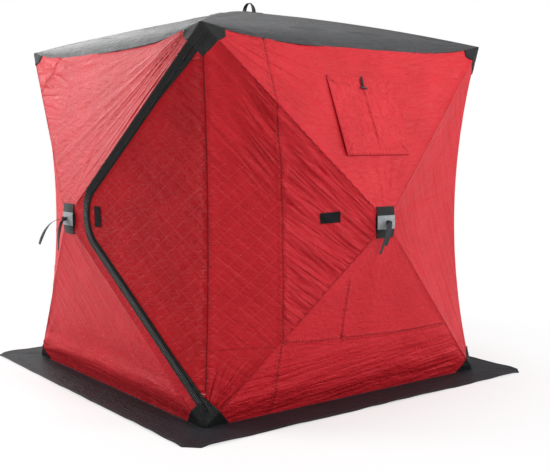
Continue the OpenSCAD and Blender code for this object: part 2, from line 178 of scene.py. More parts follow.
def inside(x, z, polygon):
    """True for points inside a drawn outline."""
    odd = np.zeros(len(x), bool)
    for (ax, az), (bx, bz) in zip(polygon, polygon[1:] + polygon[:1]):
        cross = (az > z) != (bz > z)
        odd ^= cross & (x < (bx - ax) * (z - az) / ((bz - az) or 1e-12) + ax)
    return odd


def rise(value, start, end):
    """Nought before start, one after end, and smooth between them."""
    t = np.clip((value - start) / (end - start), 0, 1)
    return t * t * (3 - 2 * t)


def bell(value, width):
    return np.exp(-(value / width) ** 2)


# The curve that the door zip follows, beside the two pole lines and round a bend next to the hub
zip_upper, zip_lower, zip_bend = 0.033, 0.060, 0.180
zip_width, door_gap = 0.060, 0.005
door_bottom, door_top = 0.150, corner_height - 0.160
rise_angle, fall_angle = math.atan2(upper, half), math.atan2(hub_height, half)
bend_x = ((zip_upper + zip_bend) * math.cos(fall_angle) + (zip_lower + zip_bend) * math.cos(rise_angle)) \
    / math.sin(rise_angle + fall_angle)
bend_z = hub_height + ((zip_lower + zip_bend) * math.sin(rise_angle)
                       - (zip_upper + zip_bend) * math.sin(fall_angle)) / math.sin(rise_angle + fall_angle)


zip_run, zip_bends = 1.05, 24


def zip_line(offset=0.0):
    """The zip's middle, or a line beside it: offset is towards the door."""
    r = zip_bend - offset
    a0, a1 = math.pi / 2 + rise_angle, 3 * math.pi / 2 - fall_angle
    turns = [a0 + (a1 - a0) * i / zip_bends for i in range(zip_bends + 1)]
    arc = [(bend_x + r * math.cos(a), bend_z + r * math.sin(a)) for a in turns]
    first = (arc[0][0] + zip_run * math.cos(rise_angle), arc[0][1] + zip_run * math.sin(rise_angle))
    last = (arc[-1][0] + zip_run * math.cos(fall_angle), arc[-1][1] - zip_run * math.sin(fall_angle))
    return [first, *arc, last]


# Sewn lines on the window walls and on the front wall, drawn on their front views
upright_seam = [(-0.571, 1.758), (-0.549, 1.417), (-0.508, 1.178), (-0.489, 0.924), (-0.494, 0.646),
                (-0.515, 0.464), (-0.530, 0.325), (-0.525, 0.149), (-0.529, 0.0)]
hem_seam = [(-0.528, 0.361), (-0.30, 0.341), (0.227, 0.319), (0.56, 0.322)]
short_seam = [(-0.172, 0.629), (-0.160, 0.334)]
gusset_seam = [(-0.521, 1.757), (-0.62, 1.62), (-0.73, 1.47), (-0.838, 1.34)]
wall_seams = [upright_seam, hem_seam, short_seam]
front_seams = [gusset_seam]
quilt_x, quilt_z = 0.092, 0.080
pole_lines = [[(0, hub_height), (sx * half, z)] for sx in (-1, 1) for z in (corner_height, 0)]


def crisp(n):
    """Round folds with tight valleys between them, as stretched cloth has."""
    return 1.9 * np.abs(n) - 0.75


def fan(x, z, apex, folds, length, seed):
    """Folds that spread from one point, highest at that length from it."""
    dx, dz = x - apex[0], z - apex[1]
    r = np.hypot(dx, dz)
    envelope = (r / length) * np.exp(1 - r / length)
    return crisp(noise(np.arctan2(dz, dx) * folds + 40, r / (3 * length), seed)) * envelope


def streaks(x, z, angle, width, length, seed):
    """Long folds that run at one angle from level."""
    c, s = math.cos(math.radians(angle)), math.sin(math.radians(angle))
    return crisp(noise((x * -s + z * c) / width + 60, (x * c + z * s) / length + 60, seed))


def window_wall_folds(x, z, seed):
    s = sector(x, z)
    seam = line_distance(x, z, upright_seam)[0]
    right_of_seam = rise(x + 0.50 + 0.06 * (np.abs(z - 0.9) / 0.9) ** 2, 0.0, 0.03)
    left_panel = s == 3
    strip = left_panel & (right_of_seam < 1)
    h = np.zeros(len(x))
    # strong folds between the upright seam and the hub
    pull = rise(hub_height + 0.55 - z, 0, 0.25) * rise(z - 0.36, 0, 0.15)
    h += left_panel * right_of_seam * (
        0.0066 * streaks(x, z, -43, 0.040, 0.36, seed) * (0.40 + 0.60 * pull)
        + 0.0030 * streaks(x, z, -50, 0.024, 0.22, seed + 1)
        + 0.0050 * streaks(x, z, -14, 0.044, 0.17, seed + 2) * bell(seam, 0.10))
    # the strip beside the corner: folds off the top corner and off the bottom corner
    high = rise(z, 0.95, 1.35)
    low = rise(0.42 - z, 0, 0.30)
    h += strip * (
        0.0075 * streaks(x, z, -49, 0.042, 0.36, seed + 3) * high * rise(x, -0.80, -0.62)
        + 0.0024 * streaks(x, z, -44, 0.026, 0.24, seed + 4) * high
        + 0.0060 * fan(x, z, (-half, 0.02), 6, 0.30, seed + 5) * low
        + 0.0012 * streaks(x, z, -40, 0.030, 0.14, seed + 6))
    # the top panel: long tight lines off the hub and off the top corner
    h += (s == 0) * (
        0.0030 * fan(x, z, (-half, corner_height), 13, 0.45, seed + 7)
        + 0.0028 * fan(x, z, (0, hub_height), 6, 0.35, seed + 8)
        + 0.0018 * fan(x, z, (half, corner_height), 8, 0.30, seed + 9))
    # the right panel: tight, with fine lines off the hub
    h += (s == 1) * (
        0.0028 * fan(x, z, (0, hub_height), 8, 0.40, seed + 10)
        + 0.0020 * streaks(x, z, -62, 0.030, 0.40, seed + 11)
        + 0.0026 * fan(x, z, (half, 0.0), 10, 0.20, seed + 12))
    # the bottom panel: smooth, then long level folds under the hem seam, where the cloth hangs loose
    under = rise(0.335 - z, 0, 0.10)
    h += (s == 2) * (
        0.0060 * bell(z - 0.27, 0.10) + 0.0090 * bell(z - 0.12, 0.06) + under * (
            0.0040 * streaks(x, z, 5, 0.042, 0.60, seed + 13)
            + 0.0022 * streaks(x, z, 10, 0.026, 0.34, seed + 14))
        + 0.0034 * fan(x, z, (-half, 0.0), 10, 0.25, seed + 15)
        + 0.0065 * fan(x, z, (half, 0.03), 7, 0.20, seed + 16)
        + 0.0014 * fan(x, z, (0, hub_height), 7, 0.30, seed + 17))
    for line in wall_seams:
        d, run = line_distance(x, z, line)
        h += 0.0018 * noise(run / 0.018, 0, seed + 18) * bell(d, 0.035) - 0.0032 * bell(d, 0.006)
    return h


def front_wall_folds(x, z, seed):
    s = sector(x, z)
    zip_distance, zip_run = line_distance(x, z, zip_line())
    h = np.zeros(len(x))
    # the top panel: a fan of long tight folds off the front top corner
    h += (s == 0) * (
        0.0075 * fan(x, z, (half + 0.02, corner_height + 0.03), 17, 0.42, seed + 1)
        * (0.25 + 0.75 * bell(line_distance(x, z, pole_lines[2])[0], 0.22))
        + 0.0030 * fan(x, z, (half, corner_height), 26, 0.55, seed + 2)
        + 0.0042 * fan(x, z, (-half, corner_height), 7, 0.25, seed + 3)
        + 0.0016 * fan(x, z, (0, hub_height), 7, 0.30, seed + 4))
    # puckers off the left corner seam
    left_seam = seam_x(z) + x
    h += (x < 0) * 0.0042 * crisp(noise(z / 0.046 + x * 5, x / 0.30, seed + 5)) \
        * bell(left_seam, 0.14) * rise(left_seam, 0.01, 0.06)
    h += (s == 3) * (0.0036 * streaks(x, z, -14, 0.044, 0.30, seed + 6)
                     + 0.0018 * streaks(x, z, -25, 0.026, 0.20, seed + 7))
    # the bottom panel: smooth, bunched along the ground
    h += (s == 2) * (
        0.0240 * bell(z - 0.125, 0.060)
        + rise(0.26 - z, 0, 0.12) * (0.0022 * streaks(x, z, -3, 0.046, 0.42, seed + 8)
                                     + 0.0020 * noise(x / 0.09, z / 0.09, seed + 9))
        + 0.0055 * fan(x, z, (-half, 0.05), 7, 0.14, seed + 10)
        + 0.0036 * fan(x, z, (half, 0.0), 12, 0.22, seed + 11)
        + 0.0020 * streaks(x, z, -55, 0.030, 0.35, seed + 12))
    # the door's side: short slanting puckers beside the corner seam, and soft drag lines
    seam = seam_x(z) - x
    h += (s == 1) * (
        0.0034 * noise((z + x * 0.9) / 0.026, (z - x) / 0.16, seed + 13)
        * bell(seam, 0.10) * rise(seam, 0, 0.02)
        + 0.0016 * streaks(x, z, -40, 0.026, 0.24, seed + 14)
        + 0.0020 * noise(zip_run / 0.030, 0, seed + 15) * bell(zip_distance, 0.06))
    for line in front_seams:
        d, run = line_distance(x, z, line)
        h += 0.0030 * noise(run / 0.022, 0, seed + 16) * bell(d, 0.045) - 0.0032 * bell(d, 0.006)
    return h


def fine_folds(x, z, wall):
    """Folds too fine for the mesh: a count across them, a count along them, and how strong they are."""
    s = sector(x, z)
    seam_gap = line_distance(x, z, upright_seam)[0]
    across, along, strong = (np.zeros(len(x)) for _ in range(3))

    def lay(where, angle, width, length, strength):
        c, t = math.cos(math.radians(angle)), math.sin(math.radians(angle))
        across[where] = ((z * c - x * t) / width)[where]
        along[where] = ((x * c + z * t) / length)[where]
        strong[where] = np.broadcast_to(strength, x.shape)[where]

    def spread(where, apex, count, length, strength):
        dx, dz = x - apex[0], z - apex[1]
        r = np.hypot(dx, dz)
        across[where] = (np.arctan2(dz, dx) * count)[where]
        along[where] = (r / length)[where]
        strong[where] = (strength * (r / 0.3) * np.exp(1 - r / 0.3))[where]

    if wall == 0:
        pole = line_distance(x, z, pole_lines[2])[0]
        spread(s == 0, (half + 0.02, corner_height + 0.03), 24, 0.8,
               (0.22 + 0.50 * bell(pole, 0.20)) * rise(x, -0.30, -0.10))
        lay((s == 0) & (x < -0.30), -10, 0.050, 0.30, 0.40 * rise(-0.30 - x, 0, 0.20))
        lay(s == 3, -14, 0.030, 0.30, 0.30 + 0.5 * bell(seam_x(z) + x, 0.12))
        lay(s == 2, -52, 0.040, 0.40, 0.07)
        lay((s == 2) & (z < 0.20), -4, 0.040, 0.36, 0.16 * rise(0.20 - z, 0, 0.08))
        lay(s == 1, -42, 0.036, 0.22, 0.10)
        return across, along, strong
    seam_z, seam_across = [p[1] for p in upright_seam][::-1], [p[0] for p in upright_seam][::-1]
    strip = (s == 3) & (x < np.interp(z, seam_z, seam_across))
    held = rise(seam_gap, 0.0, 0.012)
    pull = rise(hub_height + 0.55 - z, 0, 0.25) * rise(z - 0.36, 0, 0.15)
    lay((s == 3) & ~strip, -41, 0.031, 0.26, held * (0.22 + 0.30 * pull))
    lay(strip, -48, 0.030, 0.30, held * (rise(z, 1.00, 1.25) * rise(x, -0.74, -0.58) * 0.60 + 0.08))
    spread(strip & (z < 0.34), (-half, 0.02), 9, 0.5, 0.7 * rise(0.34 - z, 0, 0.16) * held)
    spread(s == 0, (-half, corner_height), 22, 0.9, 0.20 * held)
    spread(s == 1, (0, hub_height), 20, 0.8, 0.18)
    lay(s == 2, -58, 0.036, 0.40, 0.05)
    lay((s == 2) & (z < 0.31), 5, 0.030, 0.40, rise(0.31 - z, 0, 0.10) * 0.17)
    return across, along, strong


def calm_places(wall):
    """Outlines of what is sewn flat on a wall: cloth under them stays smooth."""
    hub_patch = [(-0.062, hub_height - 0.081), (0.062, hub_height - 0.081),
                 (0.062, hub_height + 0.081), (-0.062, hub_height + 0.081)]
    return [hub_patch] if wall == 0 else [hub_patch, grown(window_outline(0), 0.004)]


def grown(outline, by):
    cx = sum(p[0] for p in outline) / len(outline)
    cz = sum(p[1] for p in outline) / len(outline)
    return [(x + math.copysign(by, x - cx), z + math.copysign(by, z - cz)) for x, z in outline]


flap_width, flap_top_gap, flap_low_gap, flap_slant, flap_margin = 0.417, 0.205, 0.319, 0.040, 0.030
flap_top = corner_height - flap_top_gap
flap_low = hub_height + flap_low_gap


def window_outline(margin):
    side, lean = flap_width / 2 - margin, flap_slant / 2
    return [(-side - lean, flap_top - margin), (-side + lean, flap_low + margin),
            (side + lean, flap_low + margin), (side - lean, flap_top - margin)]


def relief(x, z, wall):
    """How far the real cloth stands out from the taut shape: pillows, folds, seams and pole sleeves."""
    x, z = np.asarray(x, float), np.asarray(z, float)
    a, b = x / quilt_x + z / quilt_z, x / quilt_x - z / quilt_z
    fa, fb = np.abs(a - np.round(a)) * 2, np.abs(b - np.round(b)) * 2
    # pillows are plump only where the cloth beside a corner hangs easier
    plump = (sector(x, z) == 1) if wall == 0 else (sector(x, z) == 3) & (x < -0.50)
    pillow_height = np.where(plump, 0.0004 if wall == 0 else 0.0008, 0.0002)
    pillows = pillow_height * (1 - (1 - fa) ** 4) * (1 - (1 - fb) ** 4)
    folds = front_wall_folds(x, z, 300) if wall == 0 else window_wall_folds(x, z, 100 + 40 * wall)
    crease = np.min([line_distance(x, z, line)[0] for line in pole_lines], 0)
    from_hub = np.hypot(x, z - hub_height)
    edge = np.minimum(seam_x(z) - np.abs(x), np.minimum(z * 0.6, (corner_height - z) * 0.6))
    quiet = rise(edge, 0, 0.028)
    if wall in (0, 3):
        quiet = quiet * np.where((x < 0) == (wall == 0), rise(seam_x(z) - np.abs(x), 0, 0.11), 1)
    for outline in calm_places(wall):
        d = line_distance(x, z, outline + outline[:1])[0]
        quiet = quiet * np.where(inside(x, z, outline), 0, rise(d, 0, 0.03))
    if wall == 0:
        quiet = quiet * rise(line_distance(x, z, zip_line())[0], 0.031, 0.048)
    sleeve = 0.0035 * bell(crease, 0.010) * rise(from_hub, 0.07, 0.14) * rise(edge, 0.02, 0.06)
    h = (pillows + folds * rise(crease, 0.004, 0.030)) * quiet + sleeve
    dip = 0.0028 * bell(np.minimum(seam_x(z) - np.abs(x), 1), 0.007) * rise(np.abs(x), 0.5, 0.6)
    return np.maximum(h, -0.0032) - dip


def on_wall(x, z, wall, out=0.0, folds=1.0):
    """Points of the cloth's outer face, or out metres proud of it."""
    x, z = np.asarray(x, float), np.asarray(z, float)
    y, into = wall_frame(x, z)
    d = -out - (relief(x, z, wall) * folds if folds else 0)
    d = np.broadcast_to(d, x.shape)
    return place(np.stack([x + into[:, 0] * d, y + into[:, 1] * d, z + into[:, 2] * d], 1), wall)


# ---------- cutting and sewing ----------
# Each panel is cut out of its wall's front view, as a sailmaker cuts one from a drawing, raised to the
# taut wall's shape, and closed with an inner face for its lining.
def spaced(line, step, closed=False):
    """Points along a drawn line, evenly spaced between its corners."""
    points = []
    ends = list(line) + ([line[0]] if closed else [])
    for (ax, az), (bx, bz) in zip(ends, ends[1:]):
        n = max(1, round(math.hypot(bx - ax, bz - az) / step))
        points += [(ax + (bx - ax) * i / n, az + (bz - az) * i / n) for i in range(n)]
    return points if closed else points + [ends[-1]]


def beside(line, offset):
    """A drawn line moved sideways."""
    out = []
    for i, (x, z) in enumerate(line):
        (ax, az), (bx, bz) = line[max(i - 1, 0)], line[min(i + 1, len(line) - 1)]
        length = math.hypot(bx - ax, bz - az)
        out.append((x - (bz - az) / length * offset, z + (bx - ax) / length * offset))
    return out


def triangulate(points, edges, keep):
    """Triangles over the points, with these edges in them, where keep says so."""
    verts, _, faces, *_ = delaunay_2d_cdt([Vector(p) for p in points], edges, [], 0, 1e-7, False)
    v, f = np.array([tuple(p) for p in verts]), np.array([t for t in faces if len(t) == 3])
    mid = v[f].mean(1)
    f = f[keep(mid[:, 0], mid[:, 1])]
    a, b, c = v[f[:, 0]], v[f[:, 1]], v[f[:, 2]]
    turn = (b[:, 0] - a[:, 0]) * (c[:, 1] - a[:, 1]) - (b[:, 1] - a[:, 1]) * (c[:, 0] - a[:, 0])
    f[turn < 0] = f[turn < 0][:, ::-1]
    return v, f[np.abs(turn) > 1e-9]


def boundary(faces):
    """The directed edges that only one triangle has."""
    edges = np.concatenate([faces[:, [0, 1]], faces[:, [1, 2]], faces[:, [2, 0]]])
    key = {tuple(e) for e in edges.tolist()}
    return [e for e in edges.tolist() if (e[1], e[0]) not in key]


def lattice(spacing_x, spacing_z, box):
    (x0, z0), (x1, z1) = box
    points = []
    for j in range(int(z0 / spacing_z * 2) - 1, int(z1 / spacing_z * 2) + 2):
        for i in range(int(x0 / spacing_x) - 1, int(x1 / spacing_x) + 2):
            points.append(((i + (j % 2) / 2) * spacing_x, j * spacing_z / 2))
    p = np.array(points)
    return p[(p[:, 0] > x0) & (p[:, 0] < x1) & (p[:, 1] > z0) & (p[:, 1] < z1)]


sharp_turn = math.radians(50)


def note_on(obj, name, pairs):
    """Two numbers for each point, kept as a UV map that a finish can read."""
    loops = np.zeros(len(obj.data.loops), np.int32)
    obj.data.loops.foreach_get("vertex_index", loops)
    layer = obj.data.uv_layers.new(name=name)
    layer.data.foreach_set("uv", np.asarray(pairs, np.float32)[loops].ravel())


def link(name, verts, faces, uv=None, lining_from=None):
    """A mesh object from points and faces, with UVs, sharp where it turns a corner."""
    mesh = bpy.data.meshes.new(name)
    mesh.from_pydata([tuple(v) for v in verts], [], [list(f) for f in faces])
    mesh.validate()
    mesh.polygons.foreach_set("use_smooth", [True] * len(mesh.polygons))
    if lining_from is not None:
        index = np.zeros(len(mesh.polygons), np.int32)
        index[lining_from:] = 1
        mesh.polygons.foreach_set("material_index", index)
    obj = bpy.data.objects.new(name, mesh)
    if uv is not None:
        note_on(obj, "cut", uv)
    mesh.set_sharp_from_angle(angle=sharp_turn)
    bpy.context.scene.collection.objects.link(obj)
    return obj


def keep_drawn(obj, flat):
    """Keeps each point's place on the wall's front view."""
    places = np.column_stack([flat, np.zeros(len(flat))])
    drawn = obj.data.attributes.new("drawn", "FLOAT_VECTOR", "POINT")
    drawn.data.foreach_set("vector", places.astype(np.float32).ravel())


def drawn_on(obj):
    return np.array([v.vector for v in obj.data.attributes["drawn"].data])[:, :2].T


def drag_on(obj, across, along, strong):
    """The fine folds that the finish draws: a count across them, a count along them, and their strength."""
    note_on(obj, "drag", np.stack([across, along], 1))
    strength = obj.data.attributes.new("drag_strength", "FLOAT", "POINT")
    strength.data.foreach_set("value", np.asarray(strong, np.float32))


def close_cloth(name, flat, faces, outer, inner_of, lining_spacing, keep):
    """Joins an outer face to a coarser inner one along the panel's edge."""
    used = np.unique(faces)
    to_new = np.full(len(flat), -1)
    to_new[used] = np.arange(len(used))
    f = to_new[faces]
    flat, outer = flat[used], outer[used]
    edges = boundary(f)
    rim = sorted({a for a, _ in edges})
    rim_new = {a: i for i, a in enumerate(rim)}
    lo, hi = flat.min(0), flat.max(0)
    fill = lattice(lining_spacing, lining_spacing * 0.87 * 2, (lo, hi))
    ring = flat[rim]
    if len(fill):
        near = np.min([(fill[:, 0] - p[0]) ** 2 + (fill[:, 1] - p[1]) ** 2 for p in ring], 0)
        fill = fill[(near > (lining_spacing * 0.45) ** 2) & keep(fill[:, 0], fill[:, 1])]
    pts = np.concatenate([ring, fill]) if len(fill) else ring
    v, g = triangulate(pts, [(rim_new[a], rim_new[b]) for a, b in edges], keep)
    inner = inner_of(v[:, 0], v[:, 1])
    base = len(flat)
    under = [(base + c, base + b, base + a) for a, b, c in g.tolist()]
    sides = [(b, a, base + rim_new[a], base + rim_new[b]) for a, b in edges]
    uv = np.concatenate([flat, v])
    obj = link(name, np.concatenate([outer, inner]), f.tolist() + sides + under, uv, len(f))
    keep_drawn(obj, uv)
    return obj


def in_shell(x, z):
    return (z > 0) & (z < corner_height) & (np.abs(x) < seam_x(z))


band_drop = 0.065


def roof_edge_z(x):
    """Height at which the roof cloth ends on a wall."""
    z = np.full(np.shape(x), corner_height)
    for _ in range(8):
        k = (z - hub_height) / upper
        u = np.clip((x / (k * half) + 1) / 2, 0, 1)
        z = corner_height - band_drop * (1 - (2 * u - 1) ** 4)
    return z


# Points along a wall's edges and seams, the rows of points beside a seam, and the least room between points
rim_points, seam_step, seam_row, least_gap = 190, 0.0095, 0.006, 0.0045


def cut_wall(extra_lines, fine):
    """All the outer triangles of one wall's red cloth, as drawn on its front view."""
    side = [(float(seam_x(z)), z) for z in np.linspace(0, corner_height, rim_points)]
    roof_line = [(x, float(roof_edge_z(x))) for x in np.linspace(half - 1e-4, -half + 1e-4, rim_points)]
    rim = side[:-1] + [(half - 1e-5, corner_height - 1e-5)] + roof_line[1:-1] \
        + [(-x, z) for x, z in side[::-1]]
    rim += [(x, 0.0) for x in np.linspace(-half, half, rim_points)[1:-1]]
    points, edges, rows = list(rim), [(i, (i + 1) % len(rim)) for i in range(len(rim))], []
    for line, closed in extra_lines:
        run = spaced(line, seam_step, closed)
        first = len(points)
        points += run
        n = len(run)
        edges += [(first + i, first + (i + 1) % n) for i in range(n if closed else n - 1)]
        rows += [p for o in (seam_row, -seam_row) for p in beside(run, o)]
    fixed = np.array(points)
    rows = np.array(rows)
    rows = rows[in_shell(rows[:, 0], rows[:, 1])]

    def clear(p, q, gap):
        """The points p that lie a gap or more away from all of q."""
        cell = {}
        for x, z in q:
            cell.setdefault((int(x // gap), int(z // gap)), []).append((x, z))
        kept = []
        for x, z in p:
            i, j = int(x // gap), int(z // gap)
            if all((x - a) ** 2 + (z - b) ** 2 >= gap * gap
                   for di in (-1, 0, 1) for dj in (-1, 0, 1) for a, b in cell.get((i + di, j + dj), ())):
                kept.append((x, z))
        return np.array(kept)

    rows = clear(rows, fixed, least_gap)
    fill = lattice(quilt_x / fine, quilt_z / fine, ((-half, 0), (half, corner_height)))
    fill = fill[in_shell(fill[:, 0], fill[:, 1]) & (fill[:, 1] < roof_edge_z(fill[:, 0]))]
    fill = clear(fill, np.concatenate([fixed, rows]), least_gap + 0.0003)
    return triangulate(np.concatenate([fixed, rows, fill]), edges,
                       lambda x, z: in_shell(x, z) & (z < roof_edge_z(x)))


def cloth_panel(name, wall, cut, belongs):
    """One panel of a wall: its share of the wall's triangles, closed with the shell's thickness."""
    flat, faces = cut
    mid = flat[faces].mean(1)
    mine = faces[belongs(mid[:, 0], mid[:, 1])]

    def inner(x, z):
        y, into = wall_frame(x, z)
        p = np.stack([x, y, z], 1) + into * shell_thickness
        return place(p, wall)

    outer = on_wall(flat[:, 0], flat[:, 1], wall)
    panel = close_cloth(name, flat, mine, outer, inner, 0.030, belongs)
    x, z = drawn_on(panel)
    corners = [[(side * float(seam_x(h)), h) for h in np.linspace(0, corner_height, 60)] for side in (-1, 1)]
    sewn = [line_distance(x, z, line) for line in (front_seams if wall == 0 else wall_seams) + corners]
    # the corner seams gape a little wider than the upright one, and the others are nearly shut; this sets how
    # wide each seam's painted shadow is
    shut = [1.9] + [3.0] * (len(sewn) - 3) + [1.0, 1.0]
    away = np.array([d * tight for (d, _), tight in zip(sewn, shut)])
    run = np.array([r + 3 * i for i, (_, r) in enumerate(sewn)])
    nearest = away.argmin(0)
    note_on(panel, "seam", np.stack([np.choose(nearest, run), away.min(0)], 1))
    drag_on(panel, *fine_folds(x, z, wall))
    return panel


# ---------- quilted red cloth ----------
# 300-denier polyester oxford with a thin coated face, quilted in diamonds over wadding with a plain
# lining: it catches broad soft light on every pillow and crinkles finely between the stitches.
def linear(hex_colour):
    """An sRGB hex colour as linear red, green, blue, alpha."""
    def channel(c):
        return c / 12.92 if c <= 0.04045 else ((c + 0.055) / 1.055) ** 2.4
    return [channel(int(hex_colour[i:i + 2], 16) / 255) for i in (1, 3, 5)] + [1]


def wire(tree, node, inputs):
    """Sets a node's inputs to values, to other nodes' outputs, or to a node's first output."""
    for name, value in inputs.items():
        if isinstance(value, bpy.types.Node):
            value = value.outputs[0]
        if isinstance(value, bpy.types.NodeSocket):
            tree.links.new(value, node.inputs[name])
        else:
            node.inputs[name].default_value = value


def add(tree, kind, inputs=None, tones=(), **settings):
    """Adds a node with its inputs and settings. tones are the places and hex colours of a ramp."""
    node = tree.nodes.new(kind)
    for name, value in settings.items():
        setattr(node, name, value)
    for i, (position, colour) in enumerate(tones):
        node.color_ramp.elements[i].position = position
        node.color_ramp.elements[i].color = linear(colour)
    wire(tree, node, inputs or {})
    return node


def new_finish(name, **surface):
    """A material with one Principled surface, whose plain numbers sit on its own sockets."""
    material = bpy.data.materials.new(name)
    material.use_nodes = True
    tree = material.node_tree
    shader = tree.nodes["Principled BSDF"]
    for socket, value in surface.items():
        shader.inputs[socket.replace("_", " ").title().replace("Ior", "IOR")].default_value = value
    return material, tree, shader


def raise_surface(tree, shader, heights):
    """Adds up bumps of (height, depth in metres) on the surface."""
    last = {}
    for height, depth in heights:
        inputs = {"Height": height, "Strength": 1.0, "Distance": depth, **last}
        last = {"Normal": add(tree, "ShaderNodeBump", inputs)}
    wire(tree, shader, last)


def woven(tree, flat, gap):
    """Plain weave of threads that far apart, over and under each other."""
    waves = []
    for axis in ("X", "Y"):
        turns = add(tree, "ShaderNodeMath", {0: flat[axis], 1: 2 * math.pi / gap}, operation="MULTIPLY")
        waves.append(add(tree, "ShaderNodeMath", {0: turns}, operation="SINE"))
    return add(tree, "ShaderNodeMath", {0: waves[0], 1: waves[1]}, operation="MULTIPLY")


def quilted_cloth(name, dark, light, thread_and_sheen, roughness, mark, shine=0.22):
    """mark is how plainly the quilting's stitched lines show."""
    material, tree, shader = new_finish(name, roughness=roughness, ior=1.5, specular_ior_level=shine)
    cut = add(tree, "ShaderNodeUVMap", uv_map="cut")
    where = add(tree, "ShaderNodeTexCoord").outputs["Object"]
    flat = add(tree, "ShaderNodeSeparateXYZ", {"Vector": cut}).outputs
    across = add(tree, "ShaderNodeMath", {0: flat["X"], 1: 1 / quilt_x}, operation="MULTIPLY")
    along = add(tree, "ShaderNodeMath", {0: flat["Y"], 1: 1 / quilt_z}, operation="MULTIPLY")
    lines = []
    for operation in ("ADD", "SUBTRACT"):
        turn = add(tree, "ShaderNodeMath", {0: across, 1: along}, operation=operation)
        to_line = add(tree, "ShaderNodeMath", {0: turn, 1: 0.5}, operation="PINGPONG")
        lines.append(add(tree, "ShaderNodeMath", {0: to_line, 1: quilt_row}, operation="MULTIPLY"))
    nearest = add(tree, "ShaderNodeMath", {0: lines[0], 1: lines[1]}, operation="MINIMUM")
    # stitched lines, 2 mm wide with a 6 mm dip of the wadding on either side; they fade on the upper third
    stitched = add(tree, "ShaderNodeMapRange", {"Value": nearest, "From Min": 0.0006, "From Max": 0.0016,
                                                "To Min": 1.0, "To Max": 0.0})
    fades = add(tree, "ShaderNodeMapRange", {"Value": flat["Y"], "From Min": 1.00, "From Max": 1.45,
                                             "To Min": mark, "To Max": mark * 0.2},
                interpolation_type="SMOOTHSTEP")
    dip = add(tree, "ShaderNodeMapRange", {"Value": nearest, "From Min": 0.0, "From Max": 0.0065},
              interpolation_type="SMOOTHSTEP")
    dipped = add(tree, "ShaderNodeMath", {0: dip, 1: fades}, operation="MULTIPLY")
    # blotches a hand wide, where the coating has taken the dye differently
    blotch = add(tree, "ShaderNodeTexNoise", {"Vector": where, "Scale": 5.0, "Detail": 3.0})
    base = add(tree, "ShaderNodeValToRGB", {"Fac": blotch}, ((0.32, dark), (0.68, light)))
    # painted sheen: the stitched lines take a lighter colour, partly the thread's own and partly the sheen
    # where the stitches press the cloth flat
    sheen_and_thread_lines = add(tree, "ShaderNodeMath", {0: stitched, 1: fades}, operation="MULTIPLY")
    quilted = add(tree, "ShaderNodeMix", {"Factor": sheen_and_thread_lines, 6: base, 7: linear(thread_and_sheen)}, data_type="RGBA")
    # sewn seams: a shadow 3 mm wide between two lips, and short puckers 11 mm apart on both sides
    beside_seam = add(tree, "ShaderNodeUVMap", uv_map="seam")
    from_seam = add(tree, "ShaderNodeSeparateXYZ", {"Vector": beside_seam}).outputs["Y"]
    gap = add(tree, "ShaderNodeMapRange", {"Value": from_seam, "From Min": 0.0012, "From Max": 0.0030,
                                           "To Min": 1.0, "To Max": 0.0})
    shadow = add(tree, "ShaderNodeMath", {0: gap, 1: 0.75}, operation="MULTIPLY")
    shaded = add(tree, "ShaderNodeMix", {"Factor": shadow, 6: quilted.outputs[2], 7: linear("#3A070B")},
                 data_type="RGBA")
    lip = add(tree, "ShaderNodeMapRange", {"Value": from_seam, "From Min": 0.005, "From Max": 0.012,
                                           "To Min": 1.0, "To Max": 0.0}, interpolation_type="SMOOTHSTEP")
    lips = add(tree, "ShaderNodeMath", {0: lip, 1: gap}, operation="SUBTRACT")
    along_seam = add(tree, "ShaderNodeMapping", {"Vector": beside_seam, "Scale": (90.0, 12.0, 1.0)})
    pucker = add(tree, "ShaderNodeTexNoise", {"Vector": along_seam, "Scale": 1.0, "Detail": 1.0})
    near_seam = add(tree, "ShaderNodeMapRange", {"Value": from_seam, "From Min": 0.004, "From Max": 0.060,
                                                 "To Min": 1.0, "To Max": 0.0},
                    interpolation_type="SMOOTHSTEP")
    puckers = add(tree, "ShaderNodeMath", {0: pucker, 1: near_seam}, operation="MULTIPLY")
    # drag folds: round between tight valleys
    drag = add(tree, "ShaderNodeUVMap", uv_map="drag")
    strength = add(tree, "ShaderNodeAttribute", attribute_name="drag_strength").outputs["Fac"]
    fold = add(tree, "ShaderNodeTexNoise", {"Vector": drag, "Scale": 1.0, "Detail": 1.5, "Roughness": 0.4})
    middled = add(tree, "ShaderNodeMath", {0: fold, 1: 0.5}, operation="SUBTRACT")
    ridge = add(tree, "ShaderNodeMath", {0: middled}, operation="ABSOLUTE")
    folds = add(tree, "ShaderNodeMath", {0: ridge, 1: strength}, operation="MULTIPLY")
    rough = add(tree, "ShaderNodeTexNoise", {"Vector": where, "Scale": 18.0, "Detail": 2.0})
    worn = add(tree, "ShaderNodeMapRange", {"Value": rough, "To Min": roughness - 0.07,
                                            "To Max": roughness + 0.09})
    wire(tree, shader, {"Base Color": shaded.outputs[2], "Roughness": worn})
    # crinkles 12 to 40 mm across, pulled a little along the level
    stretched = add(tree, "ShaderNodeMapping", {"Vector": cut, "Scale": (1.0, 1.9, 1.0)})
    crinkle = add(tree, "ShaderNodeTexNoise", {"Vector": stretched, "Scale": 26.0, "Detail": 4.0,
                                               "Roughness": 0.62, "Distortion": 0.8})
    # the oxford weave is 0.6 mm between threads, too fine to show, so it is drawn at 2.4 mm
    weave = woven(tree, flat, 0.0024)
    raise_surface(tree, shader, [(folds, 0.075), (puckers, 0.009), (lips, 0.0016), (crinkle, 0.0075),
                                 (dipped, 0.0030), (weave, 0.00008)])
    return material


# Room between neighbouring stitched lines of the quilting
quilt_row = 0.061
red_cloth = quilted_cloth("quilted_polyester_oxford", "#C21A26", "#CD212D", "#DE4C56", 0.46, 0.05, 0.22)
